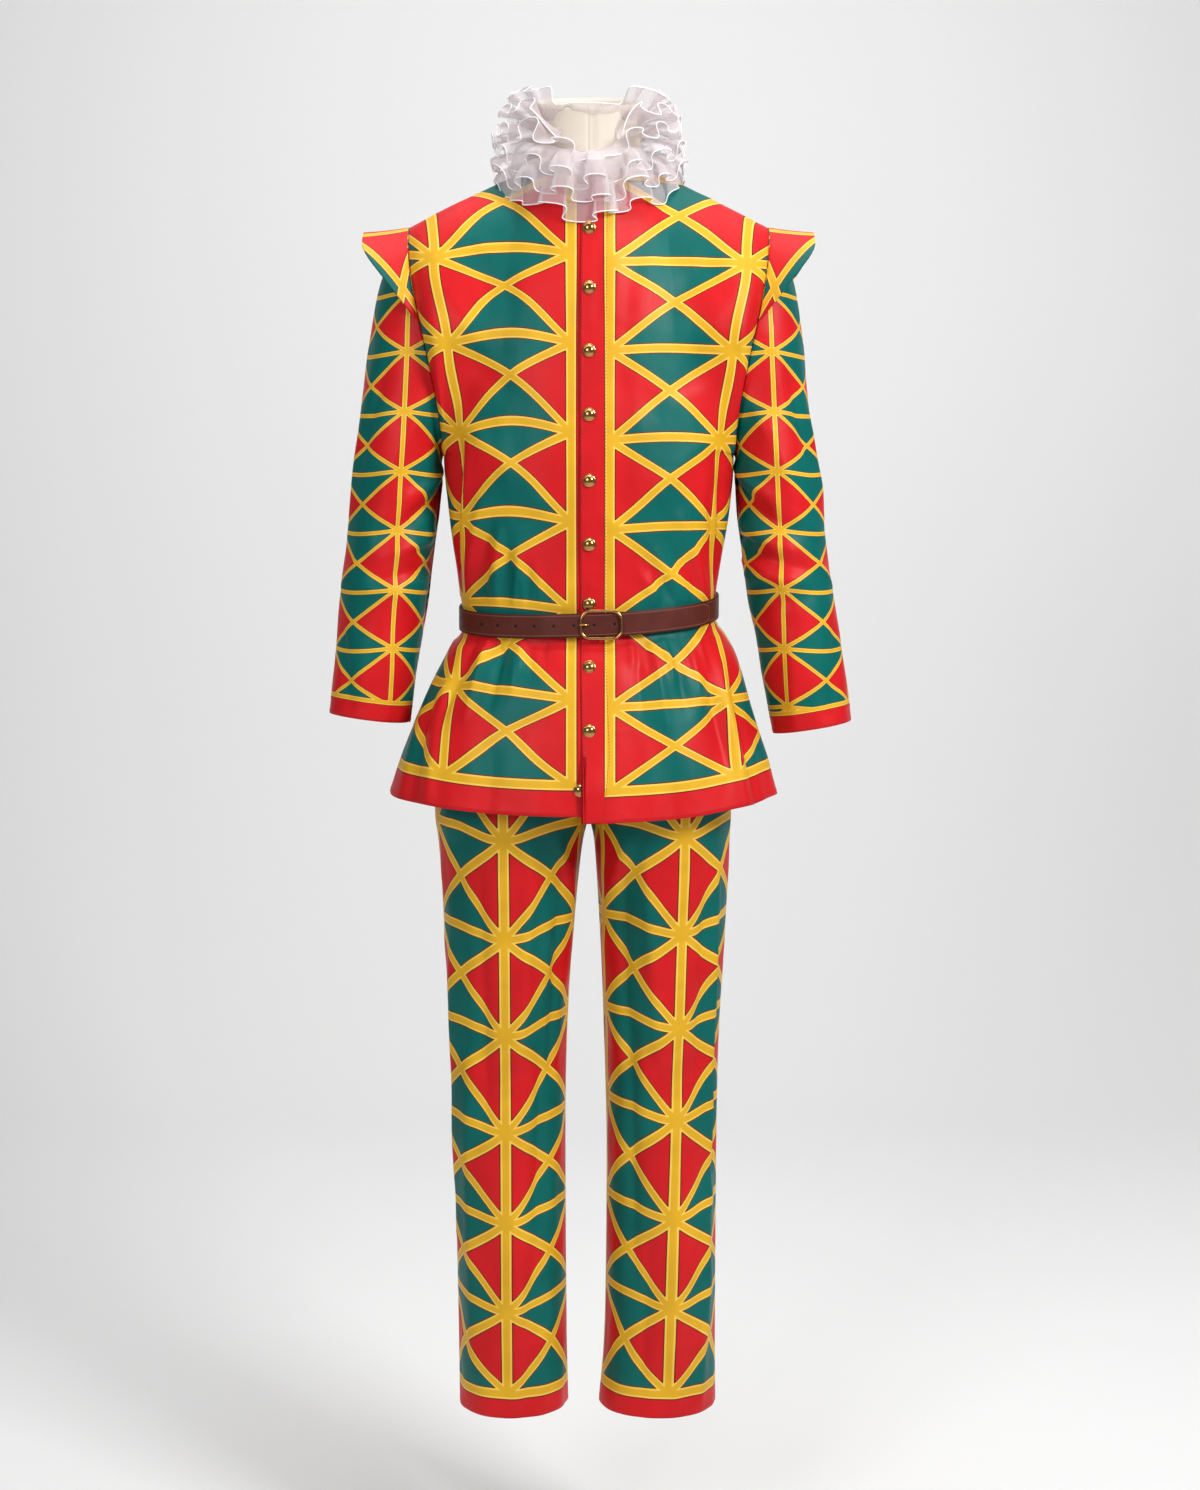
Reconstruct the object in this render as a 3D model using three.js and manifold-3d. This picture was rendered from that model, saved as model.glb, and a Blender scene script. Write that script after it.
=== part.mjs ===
// Jester costume, filled out as if worn: a jacket with shoulder wings, trousers, a leather belt and a ruff.
// Millimetres, +Z up. The front faces -Y and the wearer's left is +X.
// The origin is inside the neck, level with the highest point of the shoulder seams.
import * as THREE from "three";
import { mergeVertices } from "three/addons/utils/BufferGeometryUtils.js";
import Module from "manifold-3d";

// Cloth, leather and seams
const SATIN = 1.2;
const ORGANZA = 1.0;
const WING_STIFF = 2.0;
const LEATHER = 3.0;
const SEAM = 0.3;

// Jacket: the neck opening is a leaning ellipse and the armholes are upright ones
const NECK_HALF_WIDTH = 64;
const NECK_HALF_DEPTH = 66;
const NECK_LEVEL = -10.5;
const NECK_LEAN = 18;
const NECK_COLUMN = 32;
const SHOULDER_SLOPE = 0.475;
const SHOULDER_TIP = 210;
const UNDERARM_LEVEL = -345;
const UNDERARM_X = 171.5;
const ARMHOLE_HALF_DEPTH = 66;
const ARMHOLE_ROWS = 10;
const NECK_COLUMNS = 5;
const SHOULDER_COLUMNS = 6;
const BODY_ROUNDNESS = 2.3;
const PULL_POWER_LOW = 16;
const PULL_POWER_HIGH = 4;
const PULL_CHANGES_BY = 0.45;

// Jacket rings from the underarm to the hem; belt is how far a row follows the tilt of the belt
const BODY_ROWS = [
  { z: -345, halfWidth: 171.5, front: 118, back: 112, shift: 0, belt: 0, hem: 0 },
  { z: -405, halfWidth: 166.5, front: 115, back: 108, shift: 0, belt: 0.3, hem: 0 },
  { z: -440, halfWidth: 162, front: 112, back: 104, shift: 0, belt: 0.6, hem: 0 },
  { z: -511, halfWidth: 151.5, front: 106, back: 100, shift: 0, belt: 1, hem: 0 },
  { z: -547, halfWidth: 151.5, front: 106, back: 100, shift: 0, belt: 1, hem: 0 },
  { z: -560, halfWidth: 162, front: 112, back: 107, shift: -1, belt: 0.9, hem: 0 },
  { z: -582, halfWidth: 174, front: 122, back: 118, shift: 0.5, belt: 0.6, hem: 0 },
  { z: -614, halfWidth: 187, front: 131, back: 127, shift: -2, belt: 0.3, hem: 0.2 },
  { z: -655, halfWidth: 201, front: 139, back: 135, shift: -5, belt: 0.1, hem: 0.5 },
  { z: -700, halfWidth: 216.5, front: 147, back: 143, shift: -7, belt: 0, hem: 0.8 },
  { z: -743, halfWidth: 229, front: 153, back: 149, shift: -8, belt: 0, hem: 1 },
];
const HEM_DIP = 16;
const OVER_FRONT_DROP = 8;

// Soft folds of the skirt: each stands out from the ring, widest and deepest at the hem
const SKIRT_FOLDS = [
  { angle: -66, width: 13, out: 6 },
  { angle: -38, width: 12, out: 3 },
  { angle: 32, width: 11, out: 3 },
  { angle: 58, width: 10, out: 6 },
  { angle: 78, width: 8, out: 7 },
  { angle: 112, width: 12, out: 6 },
  { angle: 146, width: 13, out: 5 },
  { angle: 180, width: 13, out: 5 },
  { angle: -142, width: 13, out: 5 },
  { angle: -108, width: 12, out: 6 },
];

// Button front: the wearer's left front lies over the right one
const OVER_EDGE_TOP = -10;
const OVER_EDGE_HEM = -4;
const UNDER_EDGE = 18;
const OVER_LIFT = SATIN + 0.8;
const OVER_LIFT_HEM = 1.4;
const OVER_LIFT_X = 22;
const OVER_LIFT_FADE = 26;
const FLAP_LIFT = 6;
const FLAP_LIFT_LEVEL = -729;
const FLAP_LIFT_REACH = 34;
const FLAP_LIFT_X = -8;
const FLAP_LIFT_FADE = 40;
const BUTTON_RADIUS = 7.6;
const BUTTON_HEIGHT = 4.6;
const BUTTON_RIM = 1;
const BUTTON_X = 1;
const BUTTON_CLEAR = 0.5;
const BUTTON_LEVELS = [-94, -162, -233, -305, -379, -451, -519, -590, -662];
const UNDER_BUTTON_X = -9.5;
const UNDER_BUTTON_LEVEL = -729;

// Belt
const BELT_LEVEL = -529;
const BELT_DIP_FRONT = 14;
const BELT_RISE_LEFT = 7;
const BELT_HEIGHT = 27.4;
const BELT_TIP_ANGLE = 62;
const BELT_TIP_ROUND = 7;
const BELT_TIP_BLUNT = 0.85;
const BELT_OVER_FRONT = { full: 16, fade: 14 };
const BELT_STEPS_OUT = { from: 334, to: 354 };
const BELT_BAR_CLEAR = 6;
const BUCKLE_X = 14;
const BUCKLE_WIDTH = 50;
const BUCKLE_HEIGHT = 35;
const BUCKLE_CORNER = 13;
const BUCKLE_BAR = 3.4;
const BUCKLE_DEPTH = 2.6;
const BUCKLE_BAR_THICK = 3;
const PRONG_RADIUS = 1.1;
const PRONG_OUT_OF_HOLE = 12;

// Sleeves: centre line, half width and half depth from below the armhole to the cuff
const SLEEVE_LEAN = { left: 9.5, right: 7.5 };
const SLEEVE_ROWS = {
  left: [
    { z: -372, centre: 223, halfWidth: 49.5, halfDepth: 64 },
    { z: -402, centre: 226.5, halfWidth: 51, halfDepth: 63 },
    { z: -440, centre: 231, halfWidth: 51, halfDepth: 60 },
    { z: -495, centre: 238.5, halfWidth: 50.5, halfDepth: 58 },
    { z: -546, centre: 247.5, halfWidth: 49.5, halfDepth: 56 },
    { z: -596, centre: 255.5, halfWidth: 49.5, halfDepth: 54 },
    { z: -667, centre: 267, halfWidth: 48.5, halfDepth: 52 },
  ],
  right: [
    { z: -372, centre: 226.5, halfWidth: 52.5, halfDepth: 64 },
    { z: -402, centre: 229.5, halfWidth: 52.5, halfDepth: 63 },
    { z: -440, centre: 234, halfWidth: 52, halfDepth: 61 },
    { z: -495, centre: 241, halfWidth: 51.5, halfDepth: 59 },
    { z: -550, centre: 248.5, halfWidth: 50.5, halfDepth: 57 },
    { z: -605, centre: 256.5, halfWidth: 49, halfDepth: 55 },
    { z: -656, centre: 263.5, halfWidth: 48.5, halfDepth: 53 },
  ],
};
const SLEEVE_COLUMNS = 20;
const SLEEVE_HEAD_ROWS = 5;
const SLEEVE_HEAD_SLOPE = 0.53;
const SLEEVE_HEAD_START = 0.15;
const SLEEVE_HEAD_END = 0.4;

// Shoulder wings
const WING_WIDTH = 53;
const WING_END_WIDTH = 4;
const WING_ANGLES = [8, 18, 36, 54, 72, 90, 108, 126, 144, 162, 172];
const WING_FULL_AFTER = 58;
const WING_SWELL = 0.9;
const WING_DROOP = 0.17;
const WING_SPREAD = 0.42;
const WING_END_RISE = 0.4;
const WING_CURL = 3;
const WING_CLEAR = { out: 1, up: 0.4 };

// Trousers: distances of each leg's inner and outer line from the middle, and its half depths
const CROTCH_LEVEL = -776;
const RISE_CURVE_LEVEL = -680;
const TROUSER_MIDDLE = -2;
const TROUSER_COLUMNS = 8;
const LEG_ROUNDNESS = 2.1;
const LEG_ROWS = {
  right: [
    { z: -544, inner: 0, outer: 147, front: 103, back: 97, belt: 1 },
    { z: -590, inner: 0, outer: 157, front: 108, back: 108, belt: 0.4 },
    { z: -680, inner: 0, outer: 175, front: 113, back: 122, belt: 0 },
    { z: -712, inner: 0.5, outer: 180, front: 112, back: 122, belt: 0 },
    { z: -744, inner: 1, outer: 183, front: 108, back: 118, belt: 0 },
    { z: -776, inner: 2, outer: 183.5, front: 102, back: 112, belt: 0 },
    { z: -802, inner: 8, outer: 180, front: 97, back: 105, belt: 0 },
    { z: -840, inner: 13, outer: 177, front: 92, back: 98, belt: 0 },
    { z: -890, inner: 18, outer: 174.5, front: 86, back: 90, belt: 0 },
    { z: -950, inner: 23, outer: 171.5, front: 80, back: 83, belt: 0 },
    { z: -1020, inner: 27, outer: 168, front: 76, back: 77, belt: 0 },
    { z: -1100, inner: 29.5, outer: 165, front: 73, back: 73, belt: 0 },
    { z: -1200, inner: 30, outer: 162, front: 70, back: 71, belt: 0 },
    { z: -1400, inner: 29, outer: 159, front: 67, back: 68, belt: 0 },
    { z: -1496, inner: 27, outer: 158, front: 66, back: 67, belt: 0 },
  ],
  left: [
    { z: -544, inner: 0, outer: 147, front: 103, back: 97, belt: 1 },
    { z: -590, inner: 0, outer: 156, front: 108, back: 108, belt: 0.4 },
    { z: -680, inner: 0, outer: 167, front: 113, back: 122, belt: 0 },
    { z: -712, inner: 0.5, outer: 168.5, front: 112, back: 122, belt: 0 },
    { z: -744, inner: 1, outer: 169, front: 108, back: 118, belt: 0 },
    { z: -776, inner: 2, outer: 168.5, front: 102, back: 112, belt: 0 },
    { z: -802, inner: 7, outer: 167, front: 97, back: 105, belt: 0 },
    { z: -840, inner: 10, outer: 166, front: 92, back: 98, belt: 0 },
    { z: -890, inner: 13, outer: 164, front: 86, back: 90, belt: 0 },
    { z: -950, inner: 16, outer: 161, front: 80, back: 83, belt: 0 },
    { z: -1020, inner: 18.5, outer: 157, front: 76, back: 77, belt: 0 },
    { z: -1100, inner: 21, outer: 154.5, front: 73, back: 73, belt: 0 },
    { z: -1200, inner: 22.5, outer: 153.5, front: 70, back: 71, belt: 0 },
    { z: -1400, inner: 20, outer: 153, front: 67, back: 68, belt: 0 },
    { z: -1496, inner: 13, outer: 154, front: 66, back: 67, belt: 0 },
  ],
};
const WAISTBAND_HEIGHT = 29;
const WAISTBAND_DROP = 0.4;

// Ruff: a standing band and four frills; lift is measured up from the neckline
const RUFF_BAND_HEIGHT = 76;
const RUFF_BAND_SUNK = 3;
const RUFF_BAND_COLUMNS = 20;
const RUFF_WAVES = 20;
const POINTS_PER_WAVE = 4;
const RUFF_ROWS = 3;
const RUFF_TIERS = [
  { lift: 6, side: 104, front: 108, back: 100, sideZ: -25, frontZ: -87, backZ: -22, wave: 14 },
  { lift: 19, side: 111, front: 111, back: 104, sideZ: 0, frontZ: -58, backZ: -2, wave: 15 },
  { lift: 33, side: 107, front: 104, back: 103, sideZ: 30, frontZ: -22, backZ: 22, wave: 15 },
];
const TOP_TIER = {
  front: { lift: 66, radius: 69, z: 52, wave: 2 },
  side: { lift: 48, radius: 92, z: 80, wave: 8 },
  back: { lift: 55, radius: 99, z: 70, wave: 6 },
};
const TOP_TIER_GAP = 32;
const TOP_TIER_RISE = 26;
const TOP_TIER_BACK = { from: 120, fade: 40 };
const TOP_TIER_FLARE = 1.2;
const TOP_TIER_EDGE_WAVE = 3;

const COLOURS = {
  satin: 0xc8232a,
  lining: 0xb01f26,
  leather: 0x55261f,
  brass: 0xc79a3a,
  organza: 0xf4f0f2,
  band: 0xefe6d4,
};

const rad = THREE.MathUtils.degToRad;
const smooth = (x) => THREE.MathUtils.smoothstep(x, 0, 1);
const mix = THREE.MathUtils.lerp;

// A rounded oval: angle 0 is the front, 90 the wearer's left and 180 the back.
function oval(angle, halfWidth, front, back, roundness) {
  const s = Math.sin(rad(angle));
  const c = Math.cos(rad(angle));
  const power = 2 / roundness;
  const depth = c > 0 ? front : back;
  return {
    x: halfWidth * Math.sign(s) * Math.abs(s) ** power,
    y: -depth * Math.sign(c) * Math.abs(c) ** power,
  };
}

// The angle at which an oval of this half width has this x, in front.
const angleOfX = (x, halfWidth, roundness) =>
  Math.sign(x) * THREE.MathUtils.radToDeg(Math.asin((Math.abs(x) / halfWidth) ** (roundness / 2)));

// A wall of even thickness from a grid of points on its outer face. closed joins the last column to the
// first, facing turns the outer side round, and edit may move an inner point at a seam.
function wall(grid, thickness, { closed = false, facing = 1, edit = () => {} } = {}) {
  const rows = grid.length;
  const columns = grid[0].length;
  const at = (r, c) => grid[r][closed ? (c + columns) % columns : THREE.MathUtils.clamp(c, 0, columns - 1)];
  const outer = [];
  const inner = [];
  for (let r = 0; r < rows; r++) {
    for (let c = 0; c < columns; c++) {
      const across = at(r, c + 1).clone().sub(at(r, c - 1));
      const along = at(Math.min(r + 1, rows - 1), c).clone().sub(at(Math.max(r - 1, 0), c));
      const normal = across.cross(along).normalize().multiplyScalar(facing);
      const inside = at(r, c).clone().addScaledVector(normal, -thickness);
      edit(inside, at(r, c), r, c);
      outer.push(at(r, c));
      inner.push(inside);
    }
  }
  const points = [...outer, ...inner];
  const offset = outer.length;
  const triangles = [];
  const quad = (a, b, c, d) => triangles.push(a, b, c, a, c, d);
  const id = (r, c) => r * columns + (closed ? c % columns : c);
  const spans = closed ? columns : columns - 1;
  for (let r = 0; r < rows - 1; r++) {
    for (let c = 0; c < spans; c++) {
      const corners = [id(r, c), id(r, c + 1), id(r + 1, c + 1), id(r + 1, c)];
      quad(...corners);
      const [a, b, e, d] = corners.map((corner) => corner + offset);
      quad(a, d, e, b);
    }
  }
  for (let c = 0; c < spans; c++) {
    quad(id(0, c + 1), id(0, c), id(0, c) + offset, id(0, c + 1) + offset);
    const last = rows - 1;
    quad(id(last, c), id(last, c + 1), id(last, c + 1) + offset, id(last, c) + offset);
  }
  if (!closed) {
    for (let r = 0; r < rows - 1; r++) {
      quad(id(r, 0), id(r + 1, 0), id(r + 1, 0) + offset, id(r, 0) + offset);
      const last = columns - 1;
      quad(id(r + 1, last), id(r, last), id(r, last) + offset, id(r + 1, last) + offset);
    }
  }
  return outwards(points, triangles);
}

// A geometry whose faces point outwards, whichever way its triangles were listed.
function outwards(points, triangles) {
  let volume = 0;
  for (let i = 0; i < triangles.length; i += 3) {
    const [a, b, c] = triangles.slice(i, i + 3).map((n) => points[n]);
    volume += a.dot(b.clone().cross(c));
  }
  const index = volume > 0 ? triangles : triangles.toReversed();
  const geometry = new THREE.BufferGeometry().setFromPoints(points);
  return geometry.setIndex(index);
}

const root = new THREE.Group();
function addPiece(name, geometry, colour, roughness, metalness = 0) {
  const material = new THREE.MeshStandardMaterial({ color: colour, roughness, metalness });
  const mesh = new THREE.Mesh(geometry, material);
  mesh.name = name;
  root.add(mesh);
  return mesh;
}

// Neckline: angle 0 is the front, 180 the back
function neckPoint(angle, grow = 0) {
  const ring = oval(angle, NECK_HALF_WIDTH + grow, NECK_HALF_DEPTH + grow, NECK_HALF_DEPTH + grow, 2);
  return new THREE.Vector3(ring.x, ring.y, NECK_LEVEL - NECK_LEAN * Math.cos(rad(angle)));
}

const shoulderLevel = (x) => NECK_LEVEL - SHOULDER_SLOPE * (Math.abs(x) - NECK_HALF_WIDTH);
const beltTilt = (angle) => -BELT_DIP_FRONT * Math.cos(rad(angle)) + BELT_RISE_LEFT * Math.sin(rad(angle));
const beltLevel = (angle) => BELT_LEVEL + beltTilt(angle);

// Height up an armhole as a share, for an angle that runs from the underarm (-90) to the shoulder (90).
const shareUp = (armAngle) => (Math.sin(rad(armAngle)) + 1) / 2;

// A point of the armhole's edge: angles past 90 come down its back.
function armholePoint(armAngle, side) {
  const share = shareUp(armAngle);
  const top = shoulderLevel(SHOULDER_TIP);
  return new THREE.Vector3(
    side * mix(UNDERARM_X, SHOULDER_TIP, smooth(share)),
    -ARMHOLE_HALF_DEPTH * Math.cos(rad(armAngle)),
    mix(UNDERARM_LEVEL, top, share),
  );
}

function foldOut(angle, amount) {
  let out = 0;
  for (const fold of SKIRT_FOLDS) {
    const away = ((angle - fold.angle + 540) % 360) - 180;
    out += fold.out * Math.exp(-((away / fold.width) ** 2));
  }
  return out * amount;
}

// A point of the jacket below the underarm.
function ringPoint(angle, row) {
  const out = foldOut(angle, row.hem);
  const ring = oval(angle, row.halfWidth + out, row.front + out, row.back + out, BODY_ROUNDNESS);
  const forward = Math.max(0, Math.cos(rad(angle)));
  const z = row.z + beltTilt(angle) * row.belt - HEM_DIP * row.hem * forward ** 2;
  return new THREE.Vector3(ring.x + row.shift, ring.y, z);
}

// A point of the jacket above the underarm, where share is the height from there to the neck and shoulder.
// It rounds over to the neckline or the shoulder seam and is drawn to the armhole's edge at the side.
function yokePoint(angle, share, isBack) {
  const low = ringPoint(angle, BODY_ROWS[0]);
  const fromMiddle = Math.min(Math.abs(angle), 180 - Math.abs(angle));
  const side = Math.sign(angle) || 1;
  let high;
  if (fromMiddle <= NECK_COLUMN) {
    const neckAngle = (fromMiddle / NECK_COLUMN) * 90;
    high = neckPoint(side * (isBack ? 180 - neckAngle : neckAngle));
  } else {
    const x = mix(NECK_HALF_WIDTH, SHOULDER_TIP, (fromMiddle - NECK_COLUMN) / (90 - NECK_COLUMN));
    high = new THREE.Vector3(side * x, 0, shoulderLevel(x));
  }
  const over = 1 - Math.sqrt(Math.max(0, 1 - share ** 2));
  const point = low.clone().lerp(high, over);
  point.z = mix(low.z, high.z, share);
  const edgeX = mix(UNDERARM_X, SHOULDER_TIP, smooth(share)) - mix(UNDERARM_X, SHOULDER_TIP, over);
  const edgeY = 2 * ARMHOLE_HALF_DEPTH * Math.sqrt(share * (1 - share));
  const power = mix(PULL_POWER_LOW, PULL_POWER_HIGH, smooth(share / PULL_CHANGES_BY));
  const pull = Math.sin(rad(fromMiddle)) ** power;
  point.x += side * edgeX * pull;
  point.y += (isBack ? 1 : -1) * edgeY * pull;
  return point;
}

// Rows of the whole jacket from the hem up: a ring row, or a share of the yoke.
const JACKET_ROWS = [
  ...BODY_ROWS.toReversed().map((row) => ({ row })),
  ...Array.from({ length: ARMHOLE_ROWS }, (_, i) => ({
    share: shareUp(-90 + (180 * (i + 1)) / ARMHOLE_ROWS),
  })),
];
const jacketPoint = (angle, level, isBack) =>
  level.row ? ringPoint(angle, level.row) : yokePoint(angle, level.share, isBack);

// Column angles from the middle of the front to the side.
const QUARTER = [
  ...Array.from({ length: NECK_COLUMNS }, (_, i) => (NECK_COLUMN * i) / NECK_COLUMNS),
  ...Array.from({ length: SHOULDER_COLUMNS + 1 }, (_, i) => mix(NECK_COLUMN, 90, i / SHOULDER_COLUMNS)),
];

// Seams of front and back lie in the plane y = 0, half a gap to each side.
function keepInFront(point) {
  point.y = Math.min(point.y, -SEAM / 2);
}
function keepBehind(point) {
  point.y = Math.max(point.y, SEAM / 2);
}
// An armhole's edge is cut straight, so that the sleeve's own edge stands clear of it.
function cutArmhole(inside, outside, isEdge) {
  if (isEdge) inside.x = Math.sign(outside.x) * Math.min(Math.abs(inside.x), Math.abs(outside.x));
}

// Nothing of the jacket reaches inside the neckline's oval.
function clearNeck(point) {
  const reach = Math.hypot(point.x / NECK_HALF_WIDTH, point.y / NECK_HALF_DEPTH);
  if (reach < 1) {
    point.x /= reach;
    point.y /= reach;
  }
}

// The over front stands off the under front near the middle, more where it covers the last button.
function overLift(x, level, down) {
  const near = 1 - smooth((Math.abs(x) - OVER_LIFT_X) / OVER_LIFT_FADE);
  const atButton = Math.exp(-(((level - FLAP_LIFT_LEVEL) / FLAP_LIFT_REACH) ** 2));
  const flap = 1 - smooth((x - FLAP_LIFT_X) / FLAP_LIFT_FADE);
  return (OVER_LIFT + OVER_LIFT_HEM * down) * near + FLAP_LIFT * atButton * flap;
}

const halfWidthOf = (level) => (level.row ? level.row.halfWidth : UNDERARM_X);
function edgeAngle(level, side) {
  const down = level.row ? level.row.hem : 0;
  const x = side > 0 ? mix(OVER_EDGE_TOP, OVER_EDGE_HEM, down) : UNDER_EDGE;
  const shift = level.row ? level.row.shift : 0;
  return angleOfX(x - shift, halfWidthOf(level), BODY_ROUNDNESS);
}

function frontGrid(side) {
  return JACKET_ROWS.map((level) => {
    const edge = edgeAngle(level, side);
    const angles = [edge, ...QUARTER.map((angle) => side * angle)];
    return angles.map((angle) => {
      const point = jacketPoint(angle, level, false);
      if (side > 0) {
        const down = level.row ? level.row.hem : 0;
        point.z -= OVER_FRONT_DROP * down * Math.max(0, Math.cos(rad(angle))) ** 2;
        const lift = overLift(point.x, point.z, down);
        point.y -= lift;
        point.z += lift * (level.share ?? 0) ** 8;
      }
      keepInFront(point);
      return point;
    });
  });
}

function frontPanel(side) {
  const grid = frontGrid(side);
  const last = grid[0].length - 1;
  return wall(grid, SATIN, {
    facing: side,
    edit: (inside, outside, r, c) => {
      cutArmhole(inside, outside, c === last && r > BODY_ROWS.length - 1);
      keepInFront(inside);
      if (r === JACKET_ROWS.length - 1) clearNeck(inside);
    },
  });
}

function backPanel() {
  const half = QUARTER.toReversed().map((angle) => 180 - angle);
  const angles = [...half, ...half.toReversed().slice(1).map((angle) => -angle)];
  const grid = JACKET_ROWS.map((level) =>
    angles.map((angle) => {
      const point = jacketPoint(angle, level, true);
      keepBehind(point);
      return point;
    }),
  );
  return wall(grid, SATIN, {
    edit: (inside, outside, r, c) => {
      const isEdge = c === 0 || c === angles.length - 1;
      cutArmhole(inside, outside, isEdge && r > BODY_ROWS.length - 1);
      keepBehind(inside);
      if (r === JACKET_ROWS.length - 1) clearNeck(inside);
    },
  });
}

addPiece("jacket_front_left", frontPanel(1), COLOURS.satin, 0.45);
addPiece("jacket_front_right", frontPanel(-1), COLOURS.satin, 0.45);
addPiece("jacket_back", backPanel(), COLOURS.satin, 0.45);

// Sleeve: its head swings from the armhole's edge into the arm, then rings run down to the cuff
function sleeveRing(row, lean, side, armAngle) {
  const out = row.halfWidth * Math.sin(rad(armAngle));
  return new THREE.Vector3(
    side * (row.centre + out * Math.cos(rad(lean))),
    -row.halfDepth * Math.cos(rad(armAngle)),
    row.z + out * Math.sin(rad(lean)),
  );
}

function sleeveHead(armAngle, side, lean, row, t) {
  const start = armholePoint(armAngle, side).add(new THREE.Vector3(side * SEAM, 0, 0));
  const end = sleeveRing(row, lean, side, armAngle);
  const length = start.distanceTo(end);
  const outDirection = new THREE.Vector3(side, 0, -SLEEVE_HEAD_SLOPE).normalize();
  const down = new THREE.Vector3(side * Math.sin(rad(lean)), 0, -Math.cos(rad(lean)));
  const curve = new THREE.CubicBezierCurve3(
    start,
    start.clone().addScaledVector(outDirection, SLEEVE_HEAD_START * length),
    end.clone().addScaledVector(down, -SLEEVE_HEAD_END * length),
    end,
  );
  return curve.getPoint(t);
}

function sleeve(sideName) {
  const side = sideName === "left" ? 1 : -1;
  const lean = SLEEVE_LEAN[sideName];
  const rows = SLEEVE_ROWS[sideName];
  const angles = Array.from({ length: SLEEVE_COLUMNS }, (_, i) => -90 + (360 * i) / SLEEVE_COLUMNS);
  const head = Array.from({ length: SLEEVE_HEAD_ROWS }, (_, r) =>
    angles.map((angle) => sleeveHead(angle, side, lean, rows[0], r / SLEEVE_HEAD_ROWS)),
  );
  const arm = rows.map((row) => angles.map((angle) => sleeveRing(row, lean, side, angle)));
  return wall([...head, ...arm], SATIN, {
    closed: true,
    facing: -side,
    edit: (inside, outside, r) => {
      if (r === 0) inside.x = side * Math.max(Math.abs(inside.x), Math.abs(outside.x));
    },
  });
}

// Wing: a stiff crescent that stands out from the top of the armhole over the sleeve's head
function wing(side) {
  const lower = WING_ANGLES.map((angle) => {
    const fromEnd = Math.min(angle, 180 - angle) - WING_ANGLES[0];
    const grown = Math.sin(rad(90 * Math.min(1, fromEnd / (WING_FULL_AFTER - WING_ANGLES[0])))) ** WING_SWELL;
    const width = WING_END_WIDTH + (WING_WIDTH - WING_END_WIDTH) * grown;
    const out = new THREE.Vector3(0, -Math.cos(rad(angle)), Math.sin(rad(angle)));
    const front = Math.cos(rad(angle));
    const rise = WING_END_RISE * Math.abs(front) ** 3 - WING_DROOP;
    const direction = new THREE.Vector3(side, -WING_SPREAD * front, rise).normalize();
    const rootPoint = armholePoint(angle, side).addScaledVector(out, WING_CLEAR.up);
    rootPoint.x += side * WING_CLEAR.out;
    return [0, 0.5, 1].map((share) => {
      const point = rootPoint.clone().addScaledVector(direction, width * share);
      point.z += WING_CURL * share ** 2;
      return point;
    });
  });
  return wall(lower, -WING_STIFF, { facing: side });
}

for (const [sideName, side] of [["left", 1], ["right", -1]]) {
  addPiece("sleeve_" + sideName, sleeve(sideName), COLOURS.satin, 0.45);
  addPiece("wing_" + sideName, wing(side), COLOURS.satin, 0.45);
}

// Trousers: above the crotch a panel is a quarter of the hips, below it half of a leg
function trouserPoint(row, share, side, isFront) {
  const half = (row.outer - row.inner) / 2;
  const leg = oval(-90 + 180 * share, half, row.front, row.back, LEG_ROUNDNESS);
  const hip = oval(90 * share, row.outer, row.front, row.back, BODY_ROUNDNESS);
  const depth = isFront ? row.front : row.back;
  const toLeg = smooth((RISE_CURVE_LEVEL - row.z) / (RISE_CURVE_LEVEL - CROTCH_LEVEL));
  const outwardsX = mix(hip.x, row.inner + half + leg.x, toLeg);
  const y = mix(hip.y, leg.y, toLeg) * (isFront ? 1 : -depth / row.front);
  const angle = side * (isFront ? 90 * share : 180 - 90 * share);
  return new THREE.Vector3(
    (toLeg > 0 ? mix(TROUSER_MIDDLE, 0, toLeg) : TROUSER_MIDDLE) + side * outwardsX,
    y,
    row.z + beltTilt(angle) * row.belt,
  );
}

function trouserPanel(sideName, isFront) {
  const side = sideName === "left" ? 1 : -1;
  const keep = (point) => {
    (isFront ? keepInFront : keepBehind)(point);
    const fromMiddle = Math.max(side * (point.x - TROUSER_MIDDLE), SEAM / 2);
    point.x = TROUSER_MIDDLE + side * fromMiddle;
  };
  const grid = LEG_ROWS[sideName].map((row) =>
    Array.from({ length: TROUSER_COLUMNS + 1 }, (_, i) => {
      const point = trouserPoint(row, i / TROUSER_COLUMNS, side, isFront);
      keep(point);
      return point;
    }),
  );
  return wall(grid, SATIN, { facing: isFront ? -side : side, edit: keep });
}

for (const sideName of ["left", "right"]) {
  addPiece("trouser_front_" + sideName, trouserPanel(sideName, true), COLOURS.satin, 0.45);
  addPiece("trouser_back_" + sideName, trouserPanel(sideName, false), COLOURS.satin, 0.45);
}

// Waistband: sits inside the jacket, behind the belt
const ROUND = [
  ...QUARTER,
  ...QUARTER.toReversed().slice(1).map((angle) => 180 - angle),
  ...QUARTER.slice(1).map((angle) => angle - 180),
  ...QUARTER.toReversed().slice(1, -1).map((angle) => -angle),
];
const WAIST = BODY_ROWS.find((row) => row.belt === 1);

function waistPoint(angle, grow, height) {
  const ring = oval(angle, WAIST.halfWidth + grow, WAIST.front + grow, WAIST.back + grow, BODY_ROUNDNESS);
  return new THREE.Vector3(ring.x, ring.y, beltLevel(angle) + height);
}

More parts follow.
